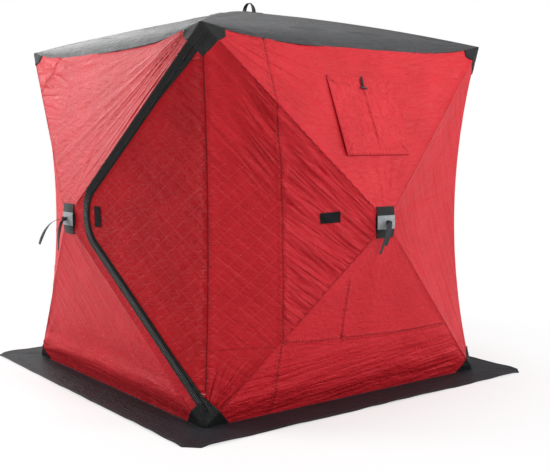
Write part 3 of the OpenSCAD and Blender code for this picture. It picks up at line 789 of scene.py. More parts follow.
# The cloth of the door and of the strips beside corners is given a deeper red
deep_red_cloth = quilted_cloth("deep_quilted_oxford", "#B50F1B", "#BF1420", "#E8606A", 0.50, 0.20)
door_red_cloth = quilted_cloth("door_quilted_oxford", "#AE0D18", "#BE131E", "#EE6A72", 0.52, 0.15, 0.14)

# The lining is the same polyester without a coating: plain, matt and a little darker
lining, tree, shader = new_finish("plain_polyester_lining", roughness=0.75, ior=1.5, sheen_weight=0.2)
where = add(tree, "ShaderNodeTexCoord").outputs["Object"]
patchy = add(tree, "ShaderNodeTexNoise", {"Vector": where, "Scale": 9.0, "Detail": 4.0})
tones = add(tree, "ShaderNodeValToRGB", {"Fac": patchy}, ((0, "#8E1A21"), (1, "#A3222B")))
wire(tree, shader, {"Base Color": tones})
rumple = add(tree, "ShaderNodeTexNoise", {"Vector": where, "Scale": 30.0, "Detail": 4.0})
raise_surface(tree, shader, [(rumple, 0.006)])


def sew_cloth(obj, body, nodes, cloth=red_cloth):
    """Finishes a red panel: its two cloths, its body and what it stands for."""
    obj.data.materials.append(cloth)
    obj.data.materials.append(lining)
    if body:
        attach(obj, body)
    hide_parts(*nodes)


# ---------- front wall ----------
# The wall with the door: three whole panels, and above and below the hub the narrow strips of cloth
# between the pole lines and the zip. Sewn edge to edge over the poles.
spokes = [([(0.0, hub_height), (sx * half, z)], False)
          for sx in (-1, 1) for z in (corner_height, 0.0)]
doorway = zip_line(-door_gap / 2)
door_edge = zip_line(door_gap / 2)


def cross_at(line, z, first):
    """Where a drawn line first or last passes a height."""
    pairs = list(zip(line, line[1:]))
    for (ax, az), (bx, bz) in (pairs if first else pairs[::-1]):
        if min(az, bz) <= z <= max(az, bz):
            return ax + (bx - ax) * (z - az) / (bz - az)


seam_points = 160


def door_loop(line, low, high):
    """The door's outline: the line beside the zip, closed along the corner seam."""
    middle = [p for p in line if low < p[1] < high]
    right = [(float(seam_x(z)), z) for z in np.linspace(low, high, seam_points)]
    return [(cross_at(line, high, True), high), *middle, (cross_at(line, low, False), low)] + right


gap_low, gap_high = door_bottom - 0.0025, door_top + 0.0025
hole_loop = door_loop(doorway, gap_low, gap_high)
leaf_loop = door_loop(door_edge, door_bottom, door_top)


def to_seam(loop):
    """A door outline without its edge on the corner seam, which the wall's own edge gives."""
    cut = loop[:-seam_points]
    high, low = cut[0][1], cut[-1][1]
    return [(float(seam_x(high)) - 0.0002, high), *cut, (float(seam_x(low)) - 0.0002, low)]


front_cut = cut_wall(spokes + [(to_seam(hole_loop), False), (to_seam(leaf_loop), False)]
                     + [(line, False) for line in front_seams], 7)


def in_leaf(x, z):
    return inside(x, z, leaf_loop)


def in_hole(x, z):
    return inside(x, z, hole_loop)


def front_part(which):
    def belongs(x, z):
        s = sector(x, z)
        here = in_shell(x, z) & (z < roof_edge_z(x))
        if which in (0, 2, 3):
            return here & (s == which)
        jamb = here & (s == 1) & ~in_hole(x, z)
        return jamb & (z > hub_height) if which == "upper" else jamb & (z <= hub_height)
    return belongs


for name, which, width, length, share in (
        ("front_wall_top", 0, 1.80, 0.93, 0.50), ("front_wall_bottom", 2, 1.80, 0.94, 0.50),
        ("front_wall_left", 3, 0.94, 1.80, 0.45)):
    panel = cloth_panel(name + "_cloth", 0, front_cut, front_part(which))
    sew_cloth(panel, "shell", [name])
for name, which in (("front_jamb_upper", "upper"), ("front_jamb_lower", "lower")):
    panel = cloth_panel(name + "_cloth", 0, front_cut, front_part(which))
    sew_cloth(panel, "shell", [name])

# ---------- door ----------
# One quilted panel, cut from the front wall between the zip and the corner seam.
door_cloth = cloth_panel("door_cloth", 0, front_cut, in_leaf)
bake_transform(door_cloth)
sew_cloth(door_cloth, None, ["door_panel"],
          cloth=door_red_cloth)

# ---------- window walls ----------
# The other three walls are alike: four panels sewn over the poles, with a window opening in the top
# one. The strip between the corner on its left and the upright seam is given a deeper red.
window_hole = window_outline(flap_margin)
window_cut_lines = spokes + [(window_hole, True)] + [(line, False) for line in wall_seams]
window_wall_cut = cut_wall(window_cut_lines, 7)


def window_wall_part(which):
    def belongs(x, z):
        here = in_shell(x, z) & (z < roof_edge_z(x)) & (sector(x, z) == which)
        return here & ~inside(x, z, window_hole) if which == 0 else here
    return belongs


def strip_beside_corner(panel):
    """Gives the cloth between the corner and the upright seam its deeper red."""
    panel.data.materials.append(deep_red_cloth)
    uv = panel.data.uv_layers["cut"].data
    seam_z, seam_across = [p[1] for p in upright_seam][::-1], [p[0] for p in upright_seam][::-1]
    for face in panel.data.polygons:
        across, up = np.mean([uv[i].uv for i in face.loop_indices], 0)
        if face.material_index == 0 and across < np.interp(up, seam_z, seam_across):
            face.material_index = 2


walls = list(enumerate(("front", "right", "back", "left")))
for wall, side in walls[1:]:
    for part, which, width, length, share in (
            ("top", 0, 1.80, 0.93, 0.42), ("bottom", 2, 1.80, 0.94, 0.50),
            ("left", 3, 0.94, 1.80, 0.45), ("right", 1, 0.94, 1.80, 0.45)):
        node = f"{side}_wall_{part}"
        panel = cloth_panel(node + "_cloth", wall, window_wall_cut, window_wall_part(which))
        sew_cloth(panel, "shell", [node])
        if part == "left":
            strip_beside_corner(panel)

# ---------- black webbing and tape ----------
# Ribbed polyester webbing, woven narrow: matt, nearly black, with fine cross ribs that catch a grey
# light. The nylon tape of the zip is woven the same way, with coarser ribs.
def ribbed_tape(name, dark, light, rib, roughness, depth):
    material, tree, shader = new_finish(name, roughness=roughness, ior=1.5, specular_ior_level=0.3)
    cut = add(tree, "ShaderNodeUVMap", uv_map="cut")
    flat = add(tree, "ShaderNodeSeparateXYZ", {"Vector": cut}).outputs
    wobble = add(tree, "ShaderNodeTexNoise", {"Vector": cut, "Scale": 90.0, "Detail": 3.0})
    slant = add(tree, "ShaderNodeMath", {0: flat["Y"], 1: 0.5, 2: flat["X"]}, operation="MULTIPLY_ADD")
    run = add(tree, "ShaderNodeMath", {0: wobble, 1: 0.0024, 2: slant}, operation="MULTIPLY_ADD")
    turns = add(tree, "ShaderNodeMath", {0: run, 1: 2 * math.pi / rib}, operation="MULTIPLY")
    ribs = add(tree, "ShaderNodeMath", {0: turns}, operation="SINE")
    # painted highlight: the tape's colour is lighter along each rib's crest, mottled by the wobble noise
    painted_rib_highlight = add(tree, "ShaderNodeMapRange", {"Value": ribs, "From Min": -1.0})
    rib_highlight_and_mottle = add(tree, "ShaderNodeMath", {0: painted_rib_highlight, 1: wobble}, operation="MULTIPLY")
    tones = add(tree, "ShaderNodeValToRGB", {"Fac": rib_highlight_and_mottle}, ((0, dark), (1, light)))
    wire(tree, shader, {"Base Color": tones})
    raise_surface(tree, shader, [(ribs, depth), (wobble, 0.002)])
    return material


# ribs of the zip's tape are 2.5 mm apart, drawn at 9 mm so that they show
sewn_gap = 0.0004
zip_tape_finish = ribbed_tape("ribbed_nylon_zip_tape", "#08090A", "#2E3032", 0.009, 0.5, 0.0015)
webbing = ribbed_tape("black_polyester_webbing", "#0B0C0D", "#232527", 0.008, 0.55, 0.0010)


def layered(rows, under):
    """Points and outward faces of a sheet with a thickness, from rows of points on its two sides."""
    n, m = len(rows), len(rows[0])
    below = n * m
    faces = []
    for j in range(n - 1):
        for i in range(m - 1):
            a, b = j * m + i, j * m + i + below
            faces += [(a, a + m, a + m + 1, a + 1), (b, b + 1, b + m + 1, b + m)]
    for i in range(m - 1):
        a = (n - 1) * m + i
        faces += [(i, i + 1, i + 1 + below, i + below), (a + below, a + 1 + below, a + 1, a)]
    for j in range(n - 1):
        a, b = j * m, j * m + m - 1
        faces += [(a + below, a + m + below, a + m, a), (b, b + m, b + m + below, b + below)]
    return np.concatenate(rows + under), faces


def strip(name, line, offsets, outs, ends, widen, finish):
    """Tape along a drawn line of the front wall: offsets across it, outs above the cloth, level ends."""
    middle, rows = np.array(line), []
    for offset in offsets:
        row = middle + (np.array(beside(line, offset)) - middle) * widen(middle[:, 1:])
        for end, inward, z in ((0, 1, ends[1]), (-1, -2, ends[0])):
            row[end] += (row[inward] - row[end]) * (z - row[end][1]) / (row[inward][1] - row[end][1])
        rows.append(row)
    verts, faces = layered([on_wall(r[:, 0], r[:, 1], 0, out) for r, out in zip(rows, outs)],
                           [on_wall(r[:, 0], r[:, 1], 0, sewn_gap) for r in rows])
    run = np.concatenate([[0], np.cumsum(np.hypot(*np.diff(middle, axis=0).T))])
    uv = np.concatenate([np.stack([run, np.full(len(line), o)], 1) for o in offsets] * 2)
    obj = link(name, verts, [face[:1] + face[:0:-1] for face in faces], uv)
    obj.data.materials.append(finish)
    return obj


def join(name, objects):
    """Several finished meshes as one piece."""
    for o in bpy.context.view_layer.objects:
        o.select_set(False)
    for o in objects:
        o.select_set(True)
    bpy.context.view_layer.objects.active = objects[0]
    bpy.ops.object.join()
    objects[0].name = name
    objects[0].data.name = name
    return objects[0]


# ---------- zip ----------
# A heavy coil zip round the door. The wall's tape is broad, sewn flat to the cloth, and runs on to both
# corner patches. The door's is sewn behind the cloth's turned edge, so only a narrow strip of it shows.
def between(line, low, high):
    """The part of a falling line between two heights, with a point on both."""
    middle = [p for p in line if low + 0.030 < p[1] < high - 0.030]
    return [(cross_at(line, high, True), high), *middle, (cross_at(line, low, False), low)]


def door_tape_spread(z):
    """The door's tape is wider at its top, where the slider parks, and a little at its foot."""
    return 1 + 2.0 * rise(z, 1.46, 1.66) + 0.8 * rise(0.30 - z, 0.0, 0.15)


tape_low, tape_high, tape_parting = 0.085, 1.742, 0.0008
zip_path = spaced(zip_line(), 0.008)
wall_zip_path = between(zip_path, tape_low, tape_high)
door_zip_path = between(zip_path, door_bottom, door_top)
tape_out = [0.0016, 0.0034, 0.0034, 0.0029, 0.0029, 0.0036]
wall_side = [-0.0300, -0.0275, -0.0200, -0.0120, -0.0060, -0.0006]
door_side = [0.0006, 0.0020, 0.0035, 0.0055, 0.0070, 0.0080]
tape_ends = [(tape_low, door_bottom - tape_parting), (door_top + tape_parting, tape_high)]
wall_band = join("wall_zip_band", [
    strip("wall_band", wall_zip_path, wall_side, tape_out, (tape_low, tape_high), np.ones_like,
          zip_tape_finish),
    *[strip("band_end", [(cross_at(zip_path, high, True), high), (cross_at(zip_path, low, False), low)],
            door_side, tape_out[::-1], (low, high), door_tape_spread, zip_tape_finish)
      for low, high in tape_ends]])
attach(wall_band, "shell")
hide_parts("wall_zip_tape")
door_band = strip("door_zip_band", door_zip_path, door_side, tape_out[::-1], (door_bottom, door_top),
                  door_tape_spread, zip_tape_finish)
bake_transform(door_band)
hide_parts("door_zip_tape")

# The coil: two rows of nylon turns, one sewn to each tape, and lockstitch along both edges of the tape.
def small_piece(name, rings, sides):
    """A little turned shape along Z, to be set many times."""
    verts = [(r * math.cos(2 * math.pi * i / sides), r * math.sin(2 * math.pi * i / sides), h)
             for r, h in rings for i in range(sides)]
    n = len(rings)
    faces = [(a + i, a + (i + 1) % sides, a + sides + (i + 1) % sides, a + sides + i)
             for a in range(0, (n - 1) * sides, sides) for i in range(sides)]
    faces += [tuple(range(sides))[::-1], tuple((n - 1) * sides + i for i in range(sides))]
    return link(name, verts, faces)


unevenness = 0.15


def set_along(name, lines, piece, pitch, finish, seed):
    """Sets the small piece at every pitch along lines, by Geometry Nodes, and keeps the result as a mesh."""
    verts, edges = [], []
    for line in lines:
        edges += [(len(verts) + i, len(verts) + i + 1) for i in range(len(line) - 1)]
        verts += [tuple(p) for p in line]
    mesh = bpy.data.meshes.new(name)
    mesh.from_pydata(verts, edges, [])
    rows = bpy.data.objects.new(name, mesh)
    bpy.context.scene.collection.objects.link(rows)
    tree = bpy.data.node_groups.new(name, "GeometryNodeTree")
    ports = {"Geometry": "NodeSocketGeometry", "Piece": "NodeSocketObject", "Pitch": "NodeSocketFloat",
             "Unevenness": "NodeSocketFloat", "Seed": "NodeSocketInt", "Finish": "NodeSocketMaterial"}
    sockets = {port: tree.interface.new_socket(port, in_out="INPUT", socket_type=kind).identifier
               for port, kind in ports.items()}
    tree.interface.new_socket("Geometry", in_out="OUTPUT", socket_type="NodeSocketGeometry")
    given = add(tree, "NodeGroupInput").outputs
    path = add(tree, "GeometryNodeMeshToCurve", {"Mesh": given["Geometry"]})
    places = add(tree, "GeometryNodeCurveToPoints", {"Curve": path, "Length": given["Pitch"]}, mode="LENGTH")
    shape = add(tree, "GeometryNodeObjectInfo", {"Object": given["Piece"]})
    least = add(tree, "ShaderNodeMath", {0: 1.0, 1: given["Unevenness"]}, operation="SUBTRACT")
    size = add(tree, "FunctionNodeRandomValue", {"Seed": given["Seed"], 2: least}, data_type="FLOAT")
    placed = add(tree, "GeometryNodeInstanceOnPoints", {
        "Points": places, "Instance": shape.outputs["Geometry"], "Rotation": places.outputs["Rotation"],
        "Scale": size.outputs[1]})
    real = add(tree, "GeometryNodeRealizeInstances", {"Geometry": placed})
    coated = add(tree, "GeometryNodeSetMaterial", {"Geometry": real, "Material": given["Finish"]})
    add(tree, "NodeGroupOutput", {"Geometry": coated})
    setting = rows.modifiers.new("set_along", "NODES")
    setting.node_group = tree
    for port, value in (("Piece", piece), ("Pitch", pitch), ("Unevenness", unevenness), ("Seed", seed),
                        ("Finish", finish)):
        setting[sockets[port]] = value
    made = bpy.data.meshes.new_from_object(rows.evaluated_get(bpy.context.evaluated_depsgraph_get()))
    rows.modifiers.clear()
    rows.data = made
    made.name = name
    return rows


def on_line(line, offset, out, wall):
    """A line beside a drawn one, on the wall's cloth."""
    p = np.array(beside(line, offset))
    return on_wall(p[:, 0], p[:, 1], wall, out)


def grained(name, dark, light, scale, detail, depth, **surface):
    """A moulded or spun material: two near colours in a fine grain, raised by the depth."""
    material, tree, shader = new_finish(name, **surface)
    where = add(tree, "ShaderNodeTexCoord").outputs["Object"]
    grain = add(tree, "ShaderNodeTexNoise", {"Vector": where, "Scale": scale, "Detail": detail})
    tones = add(tree, "ShaderNodeValToRGB", {"Fac": grain}, ((0, dark), (1, light)))
    wire(tree, shader, {"Base Color": tones})
    if depth:
        raise_surface(tree, shader, [(grain, depth)])
    return material


# Drawn nylon wire is sheeny along each turn; spun thread is duller
coil_nylon = grained("black_nylon_coil", "#08090A", "#1C1D1F", 240.0, 2.0, 0, roughness=0.4, ior=1.53)
black_thread, red_thread, charcoal_thread = (
    grained(name, dark, light, 600.0, 2.0, 0, roughness=0.6, ior=1.5) for name, dark, light in (
        ("black_nylon_thread", "#0B0B0C", "#1B1C1D"), ("red_polyester_thread", "#A5121C", "#C22A35"),
        ("charcoal_polyester_thread", "#2A2B2E", "#424347")))
# turns of the coil are 1.8 mm apart, drawn at 3 mm; stitches are 3 mm long, drawn at 5 mm
turn_shape = small_piece("coil_turn", [(0.0008, -0.0011), (0.0019, -0.0006), (0.0019, 0.0006),
                                       (0.0008, 0.0011)], 8)
stitch_shape = small_piece("stitch", [(0.0002, -0.0025), (0.0007, 0.0), (0.0002, 0.0025)], 4)
coil_pitch, coil_offset, coil_out = 0.003, 0.0021, 0.0038
tape_stitch_pitch, tape_stitch_out = 0.007, 0.0036
wall_coil = set_along("wall_zip_coil", [on_line(wall_zip_path, -coil_offset, coil_out, 0)],
                      turn_shape, coil_pitch, coil_nylon, 1)
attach(wall_coil, "shell")
door_coil = set_along("door_zip_coil", [on_line(door_zip_path, coil_offset, coil_out, 0)],
                      turn_shape, coil_pitch, coil_nylon, 2)
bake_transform(door_coil)
door_stitches = set_along("door_tape_stitches", [on_line(door_zip_path, 0.0058, tape_stitch_out, 0)],
                          stitch_shape, tape_stitch_pitch, black_thread, 3)
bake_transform(door_stitches)
bpy.data.objects.remove(turn_shape)

# ---------- roof ----------
# Four charcoal gores of coated oxford, sewn to each other over the bowed roof poles. Each is rolled
# over the eave and sewn to the top of its wall with a folded hem.
roof_peak = corner_height + 0.210
roof_bow = 0.020
eave_roll = 0.080


def roof_point(u, r):
    """A point of the front gore: r is 0 at the peak and 1 at the eave."""
    eave = np.stack([half * (2 * u - 1), -half + eave_pull * hump(u), np.full_like(u, corner_height)], 1)
    p = eave * r[:, None]
    p[:, 2] += roof_peak * (1 - r) + roof_bow * hump(r)
    return p


def band_point(u, down):
    """A point of the gore's part that hangs over the wall, down metres below the eave."""
    k = 1 - down / upper
    x = half * (2 * u - 1) * k
    y = hub_y * (1 - k) + (eave_pull * hump(u) - half) * k
    return np.stack([x, y, hub_height + upper * k], 1)


def roof_gore(side, wall):
    us = np.linspace(0.0004, 0.9996, 111)
    rows, lower_rows, lengths = [], [], []
    plateau = 1 - (2 * us - 1) ** 4
    drop = band_drop * plateau
    rs = np.linspace(0.0015, 1, 46)
    seed = 500 + 50 * wall
    roll = eave_roll * np.clip(plateau * 1.6, 0, 1)
    for r in rs:
        rr = np.minimum(r, 1 - roll / half)
        p = roof_point(us, rr)
        x, d = p[:, 0].copy(), half * rr
        # drag lines run from the poles to the middle of the eave, with soft waves along the eave
        corner = np.abs(2 * us - 1)
        h = 0.006 * noise(us * 9 + 3 * r, r * 2.2, seed) * r * (1 - corner ** 6)
        for corner_x, pulls in ((half, seed + 1), (-half, seed + 2)):
            h += 0.0045 * fan(x, d, (corner_x, half), 9, 0.30, pulls)
        h += 0.003 * noise(x / 0.11, d / 0.045, seed + 3) * rise(r, 0.25, 0.6)
        h *= rise(1 - corner, 0, 0.10) * rise(r, 0.02, 0.25) * rise(1 - rr, 0.0, 0.02)
        p[:, 2] += np.maximum(h, -0.003)
        rows.append(p)
        q = roof_point(us, rr)
        q[:, 2] -= shell_thickness
        lower_rows.append(q)
        lengths.append(d)
    for t in np.linspace(0, 1, 12)[1:]:
        a = roof_point(us, 1 - roll / half)
        b = roof_point(us, np.ones_like(us))
        c = band_point(us, np.minimum(roll, drop * 0.75))
        p = a * (1 - t) ** 2 + b * (2 * t * (1 - t)) + c * t ** 2
        rows.append(p)
        q = p.copy()
        q[:, 1] += shell_thickness * t
        q[:, 2] -= shell_thickness * (1 - t)
        lower_rows.append(q)
        lengths.append(half - roll + roll * 1.6 * t)
    start = np.minimum(roll, drop * 0.75)
    for t in np.linspace(0, 1, 8)[1:]:
        down = start + (drop + 0.002 - start) * t
        p = band_point(us, down)
        wave = 0.0015 * noise(us * 60, 0, seed + 5) * plateau * t
        p[:, 1] -= wave + 0.0022 * (t > 0.80) * plateau
        rows.append(p)
        q = band_point(us, down)
        q[:, 1] += shell_thickness
        lower_rows.append(q)
        lengths.append(half + roll * 0.6 + (down - start))
    m, n = len(us), len(rows)
    verts, faces = layered(rows, lower_rows)
    uv = np.concatenate([np.stack([us * 2 * half, v], 1) for v in lengths] * 2)
    obj = link(f"roof_{side}_cloth", place(verts, wall), faces, uv)
    obj.data.materials.append(roof_cloth)
    obj.data.materials.append(webbing)
    for face in obj.data.polygons[(n - 2) * (m - 1) * 2:(n - 1) * (m - 1) * 2]:
        face.material_index = 1
    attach(obj, "shell")
    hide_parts(f"roof_{side}")


def coated_cloth(name, dark, light, roughness, weave_gap, crinkle_depth, shine):
    """Coated oxford without quilting."""
    material, tree, shader = new_finish(name, roughness=roughness, ior=1.5, specular_ior_level=shine)
    cut = add(tree, "ShaderNodeUVMap", uv_map="cut")
    where = add(tree, "ShaderNodeTexCoord").outputs["Object"]
    blotch = add(tree, "ShaderNodeTexNoise", {"Vector": where, "Scale": 4.0, "Detail": 5.0})
    base = add(tree, "ShaderNodeValToRGB", {"Fac": blotch}, ((0.3, dark), (0.7, light)))
    worn = add(tree, "ShaderNodeTexNoise", {"Vector": where, "Scale": 14.0, "Detail": 3.0})
    rough = add(tree, "ShaderNodeMapRange", {"Value": worn, "To Min": roughness - 0.08,
                                             "To Max": roughness + 0.10})
    wire(tree, shader, {"Base Color": base, "Roughness": rough})
    pulled = add(tree, "ShaderNodeMapping", {"Vector": cut, "Scale": (1.0, 3.0, 1.0)})
    crinkle = add(tree, "ShaderNodeTexNoise", {"Vector": pulled, "Scale": 16.0, "Detail": 5.0,
                                               "Roughness": 0.6, "Distortion": 0.6})
    weave = woven(tree, add(tree, "ShaderNodeSeparateXYZ", {"Vector": cut}).outputs, weave_gap)
    raise_surface(tree, shader, [(crinkle, crinkle_depth), (weave, 0.0001)])
    return material


# The coating is smooth and a little glossy, so the roof mirrors the sky softly; its weave is drawn at 2.6 mm
roof_cloth = coated_cloth("coated_polyester_oxford", "#212225", "#2C2D30", 0.50, 0.0026, 0.014, 0.6)
for wall, side in walls:
    roof_gore(side, wall)

# ---------- skirt ----------
# A flap of matt charcoal ripstop sewn all round the bottom, spread flat on the ice to be weighed down
# with snow. Four strips meet at mitred corners whose tips are cut off. Its weave is drawn at 3 mm.
skirt_width, skirt_thickness, skirt_corner, skirt_hem = 0.210, 0.003, 0.060, 0.024
skirt_start = half + 0.0013
skirt_cloth = coated_cloth("coated_ripstop_skirt", "#17171C", "#1F1F25", 0.60, 0.0030, 0.007, 0.3)


def skirt_wave(x, d, seed):
    """How high the skirt lies off the ground: nought at the wall, a little more towards its edge."""
    h = 0.5 + 0.5 * noise(x / 0.24, d / 0.30, seed)
    h = 0.006 * h + 0.0035 * (0.5 + 0.5 * noise(x / 0.09, d / 0.10, seed + 1))
    return h * rise(d, 0.0, 0.08)


for wall, side in walls:
    across = np.concatenate([[0, 0.004], np.linspace(0.012, skirt_width - 0.030, 16),
                             np.linspace(skirt_width - skirt_hem, skirt_width, 7)])
    across = np.sort(np.append(across, skirt_width - skirt_corner / 2))
    along = np.linspace(-1, 1, 151)
    rows, uv = [], []
    for face in (1, 0):
        for d in across:
            tip = max(0.0, d - (skirt_width - skirt_corner / 2))
            limit = skirt_start + d - 0.0003 - 2 * tip
            x = along * limit
            z = skirt_wave(x, d, 900 + 10 * wall) * rise(limit - np.abs(x), 0.0, 0.05)
            hem = 0.0010 * rise(d, skirt_width - skirt_hem, skirt_width - 0.018) \
                * (1 - rise(d, skirt_width - 0.002, skirt_width))
            height = z + (skirt_thickness + hem if face else 0.0002)
            rows.append(np.stack([x, np.full_like(x, -(skirt_start + d)), height], 1))
            uv.append(np.stack([x, np.full_like(x, d)], 1))
    verts, faces = layered(rows[:len(across)], rows[len(across):])
    skirt = link(f"skirt_{side}_cloth", place(verts, wall), faces, np.concatenate(uv))
    skirt.data.materials.append(skirt_cloth)
    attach(skirt, "shell")
    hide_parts(f"skirt_{side}")

# ---------- pieces laid on the cloth ----------
# Patches, tabs and flaps are cut to an outline drawn on the wall's front view and sewn flat on the
# cloth, so each takes the wall's shape with its own thickness on top.
def laid_on(name, outline, wall, step, out, under, finish, folds=1.0, uv_turn=False):
    """A piece of tape or cloth on a wall. out gives its face's height above the cloth."""
    ring = spaced(outline, step, True)
    lo, hi = np.array(ring).min(0), np.array(ring).max(0)
    fill = lattice(step * 1.05, step * 1.05 * 1.74, (lo, hi))
    fill = fill[inside(fill[:, 0], fill[:, 1], ring)]
    if len(fill):
        near = line_distance(fill[:, 0], fill[:, 1], ring + ring[:1])[0]
        fill = fill[near > step * 0.45]
    n = len(ring)
    points = np.concatenate([np.array(ring), fill]) if len(fill) else np.array(ring)
    v, f = triangulate(points, [(i, (i + 1) % n) for i in range(n)], lambda x, z: inside(x, z, ring))
    height = out(v[:, 0], v[:, 1]) if callable(out) else np.full(len(v), out)
    outer = on_wall(v[:, 0], v[:, 1], wall, height, folds)
    lower = under(v[:, 0], v[:, 1]) if callable(under) else np.full(len(v), under)
    inner = on_wall(v[:, 0], v[:, 1], wall, lower, folds)
    sides = [(b, a, a + len(v), b + len(v)) for a, b in boundary(f)]
    back = [(a + len(v), c + len(v), b + len(v)) for a, b, c in f.tolist()]
    uv = v[:, ::-1] if uv_turn else v
    obj = link(name, np.concatenate([outer, inner]), f.tolist() + sides + back, np.concatenate([uv, uv]))
    keep_drawn(obj, np.concatenate([v, v]))
    obj.data.materials.append(finish)
    return obj


def rectangle(x, z, width, height, turn=0.0):
    c, s = math.cos(math.radians(turn)), math.sin(math.radians(turn))
    corners = [(a * width / 2, b * height / 2) for a, b in ((-1, -1), (1, -1), (1, 1), (-1, 1))]
    return [(x + a * c - b * s, z + a * s + b * c) for a, b in corners]


def to_edge(x, z, outline):
    return line_distance(x, z, list(outline) + [outline[0]])[0]


# ---------- window flaps and panes ----------
# Each window is a clear vinyl sheet sewn behind its opening. Outside hangs a quilted flap, hemmed all
# round and standing a little proud along its lower and hinge-side edges.
# Clear vinyl ripples a little, so it shows as a faint sheen over the dark inside
clear_vinyl, tree, shader = new_finish("clear_vinyl_sheet", roughness=0.12, ior=1.53, transmission_weight=0.9)
wire(tree, shader, {"Base Color": linear("#E8EEF2")})
where = add(tree, "ShaderNodeTexCoord").outputs["Object"]
ripple = add(tree, "ShaderNodeTexNoise", {"Vector": where, "Scale": 9.0, "Detail": 2.0})
raise_surface(tree, shader, [(ripple, 0.01)])
flap_cloth = quilted_cloth("quilted_flap_oxford", "#C8222D", "#D42A35", "#DE4C56", 0.46, 0.02)
flap_hem = 0.013


def flap_hang(across, down):
    """How far the flap stands off the wall: more towards its lower edge and its hinge-side edge."""
    return 0.0045 * rise(down, 0.2, 1.0) + 0.0035 * rise(-across / flap_width, 0.30, 0.5) * rise(down, 0, 0.2)


def flap_height(seed):
    outline = window_outline(0)

    def height(x, z):
        d = to_edge(x, z, outline)
        lean = flap_slant * (flap_top - z) / (flap_top - flap_low) - flap_slant / 2
        middle = x - lean
        down = (flap_top - z) / (flap_top - flap_low)
        loose = flap_hang(middle, down)
        puff = rise(d, flap_hem, flap_hem + 0.02)
        crinkle = 0.0012 * noise(x / 0.030, z / 0.040, seed) + 0.0008 * noise(x / 0.015, z / 0.020, seed + 1)
        crinkle += 0.0010 * streaks(x, z, -62, 0.030, 0.12, seed + 2)
        from_fold = middle - 0.012 * down
        seam = -0.0035 * bell(from_fold, 0.007) + 0.0045 * bell(from_fold - 0.011, 0.007)
        hem = 0.0014 * rise(d, -0.001, 0.003) * (1 - rise(d, flap_hem - 0.002, flap_hem + 0.002))
        return 0.0036 + loose + hem + puff * (0.0030 + crinkle + seam)
    return height


def flap_under(x, z):
    down = (flap_top - z) / (flap_top - flap_low)
    lean = flap_slant * down - flap_slant / 2
    return sewn_gap + flap_hang(x - lean, down)


for wall, side in walls[1:]:
    flap = laid_on(f"window_flap_{side}", window_outline(0), wall, 0.0065, flap_height(700 + 10 * wall),
                   flap_under, flap_cloth, 0.0)
    x, z = drawn_on(flap)
    from_edge, edge_run = line_distance(x, z, window_outline(0) + window_outline(0)[:1])
    # The hem's inner edge is drawn as a seam: a painted shadow line along it, between two raised lips
    note_on(flap, "seam", np.stack([edge_run, np.abs(from_edge - flap_hem) + 0.0016], 1))
    drag_on(flap, (z * 0.5 + x * 0.87) / 0.022, (x * 0.5 - z * 0.87) / 0.06,
            0.20 * rise(from_edge, flap_hem, flap_hem + 0.02))
    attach(flap, "shell")
    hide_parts("window_flaps")
    pane = laid_on(f"window_pane_{side}", window_outline(flap_margin / 2), wall, 0.020,
                   -shell_thickness - 0.0005, -shell_thickness - 0.0017, clear_vinyl, 0.0)
    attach(pane, "shell")
    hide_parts("window_panes")

# ---------- corner patches ----------
# Hard-wearing black webbing cloth over the eight corners, where the poles' balls press. Each patch is
# folded round the corner seam and stitched along its free edges.
top_patch, low_patch = (0.244, 0.148), (0.270, 0.135)


def corner_outline(top):
    """Half of a corner patch, on the wall to the left of its corner."""
    if top:
        width, height = top_patch[0] / 2, top_patch[1]
        # its upper edges slope down from the corner along the roof's hem
        zs = np.linspace(corner_height, corner_height - height, 16)
        return [(half - width, corner_height - 0.028), (half - width + 0.003, corner_height - 0.060),
                (half - 0.62 * width, corner_height - 0.56 * height)] + \
            [(float(seam_x(z)), float(min(z, corner_height - 0.001))) for z in zs[::-1]]
    width = height = low_patch[1]
    return [(float(seam_x(z)), float(z)) for z in np.linspace(height, 0.004, 14)] + [(half - width, 0.004)]


for corner, name in enumerate(("front_right", "back_right", "back_left", "front_left")):
    for top, label, node, size, share in ((True, "top", "top_corner_patches", top_patch, 0.60),
                                          (False, "bottom", "bottom_corner_patches", low_patch, 0.50)):
        outline = corner_outline(top)
        mirrored = [(-x, z) for x, z in outline]
        halves = [laid_on("patch_half", o, w % 4, 0.008, lambda x, z, o=o: 0.0036 + 0.0008 * bell(
            to_edge(x, z, o) - 0.007, 0.003), sewn_gap, webbing)
            for o, w in ((outline, corner), (mirrored, corner + 1))]
        patch = join(f"{label}_patch_{name}", halves)
        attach(patch, "shell")
        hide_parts(node)

# ---------- hub patches and reflective bands ----------
# A square of black webbing over each hub takes the pull of its strap. A strip of grey reflective tape,
# glass beads on polyester, is sewn across it and glints a little over its scuffed face.
hub_patch_width, hub_patch_height = 0.112, 0.150
band_width, band_height = hub_patch_width - 0.001, 0.066
reflective, tree, shader = new_finish("glass_bead_reflective_tape", metallic=0.2, roughness=0.6)
where = add(tree, "ShaderNodeUVMap", uv_map="cut")
beads = add(tree, "ShaderNodeTexVoronoi", {"Vector": where, "Scale": 420.0})
scuffs = add(tree, "ShaderNodeTexNoise", {"Vector": where, "Scale": 45.0, "Detail": 5.0})
tones = add(tree, "ShaderNodeValToRGB", {"Fac": scuffs}, ((0, "#6E7276"), (1, "#A6AAAE")))
wire(tree, shader, {"Base Color": tones})
raise_surface(tree, shader, [(scuffs, 0.004), (beads, 0.0002)])


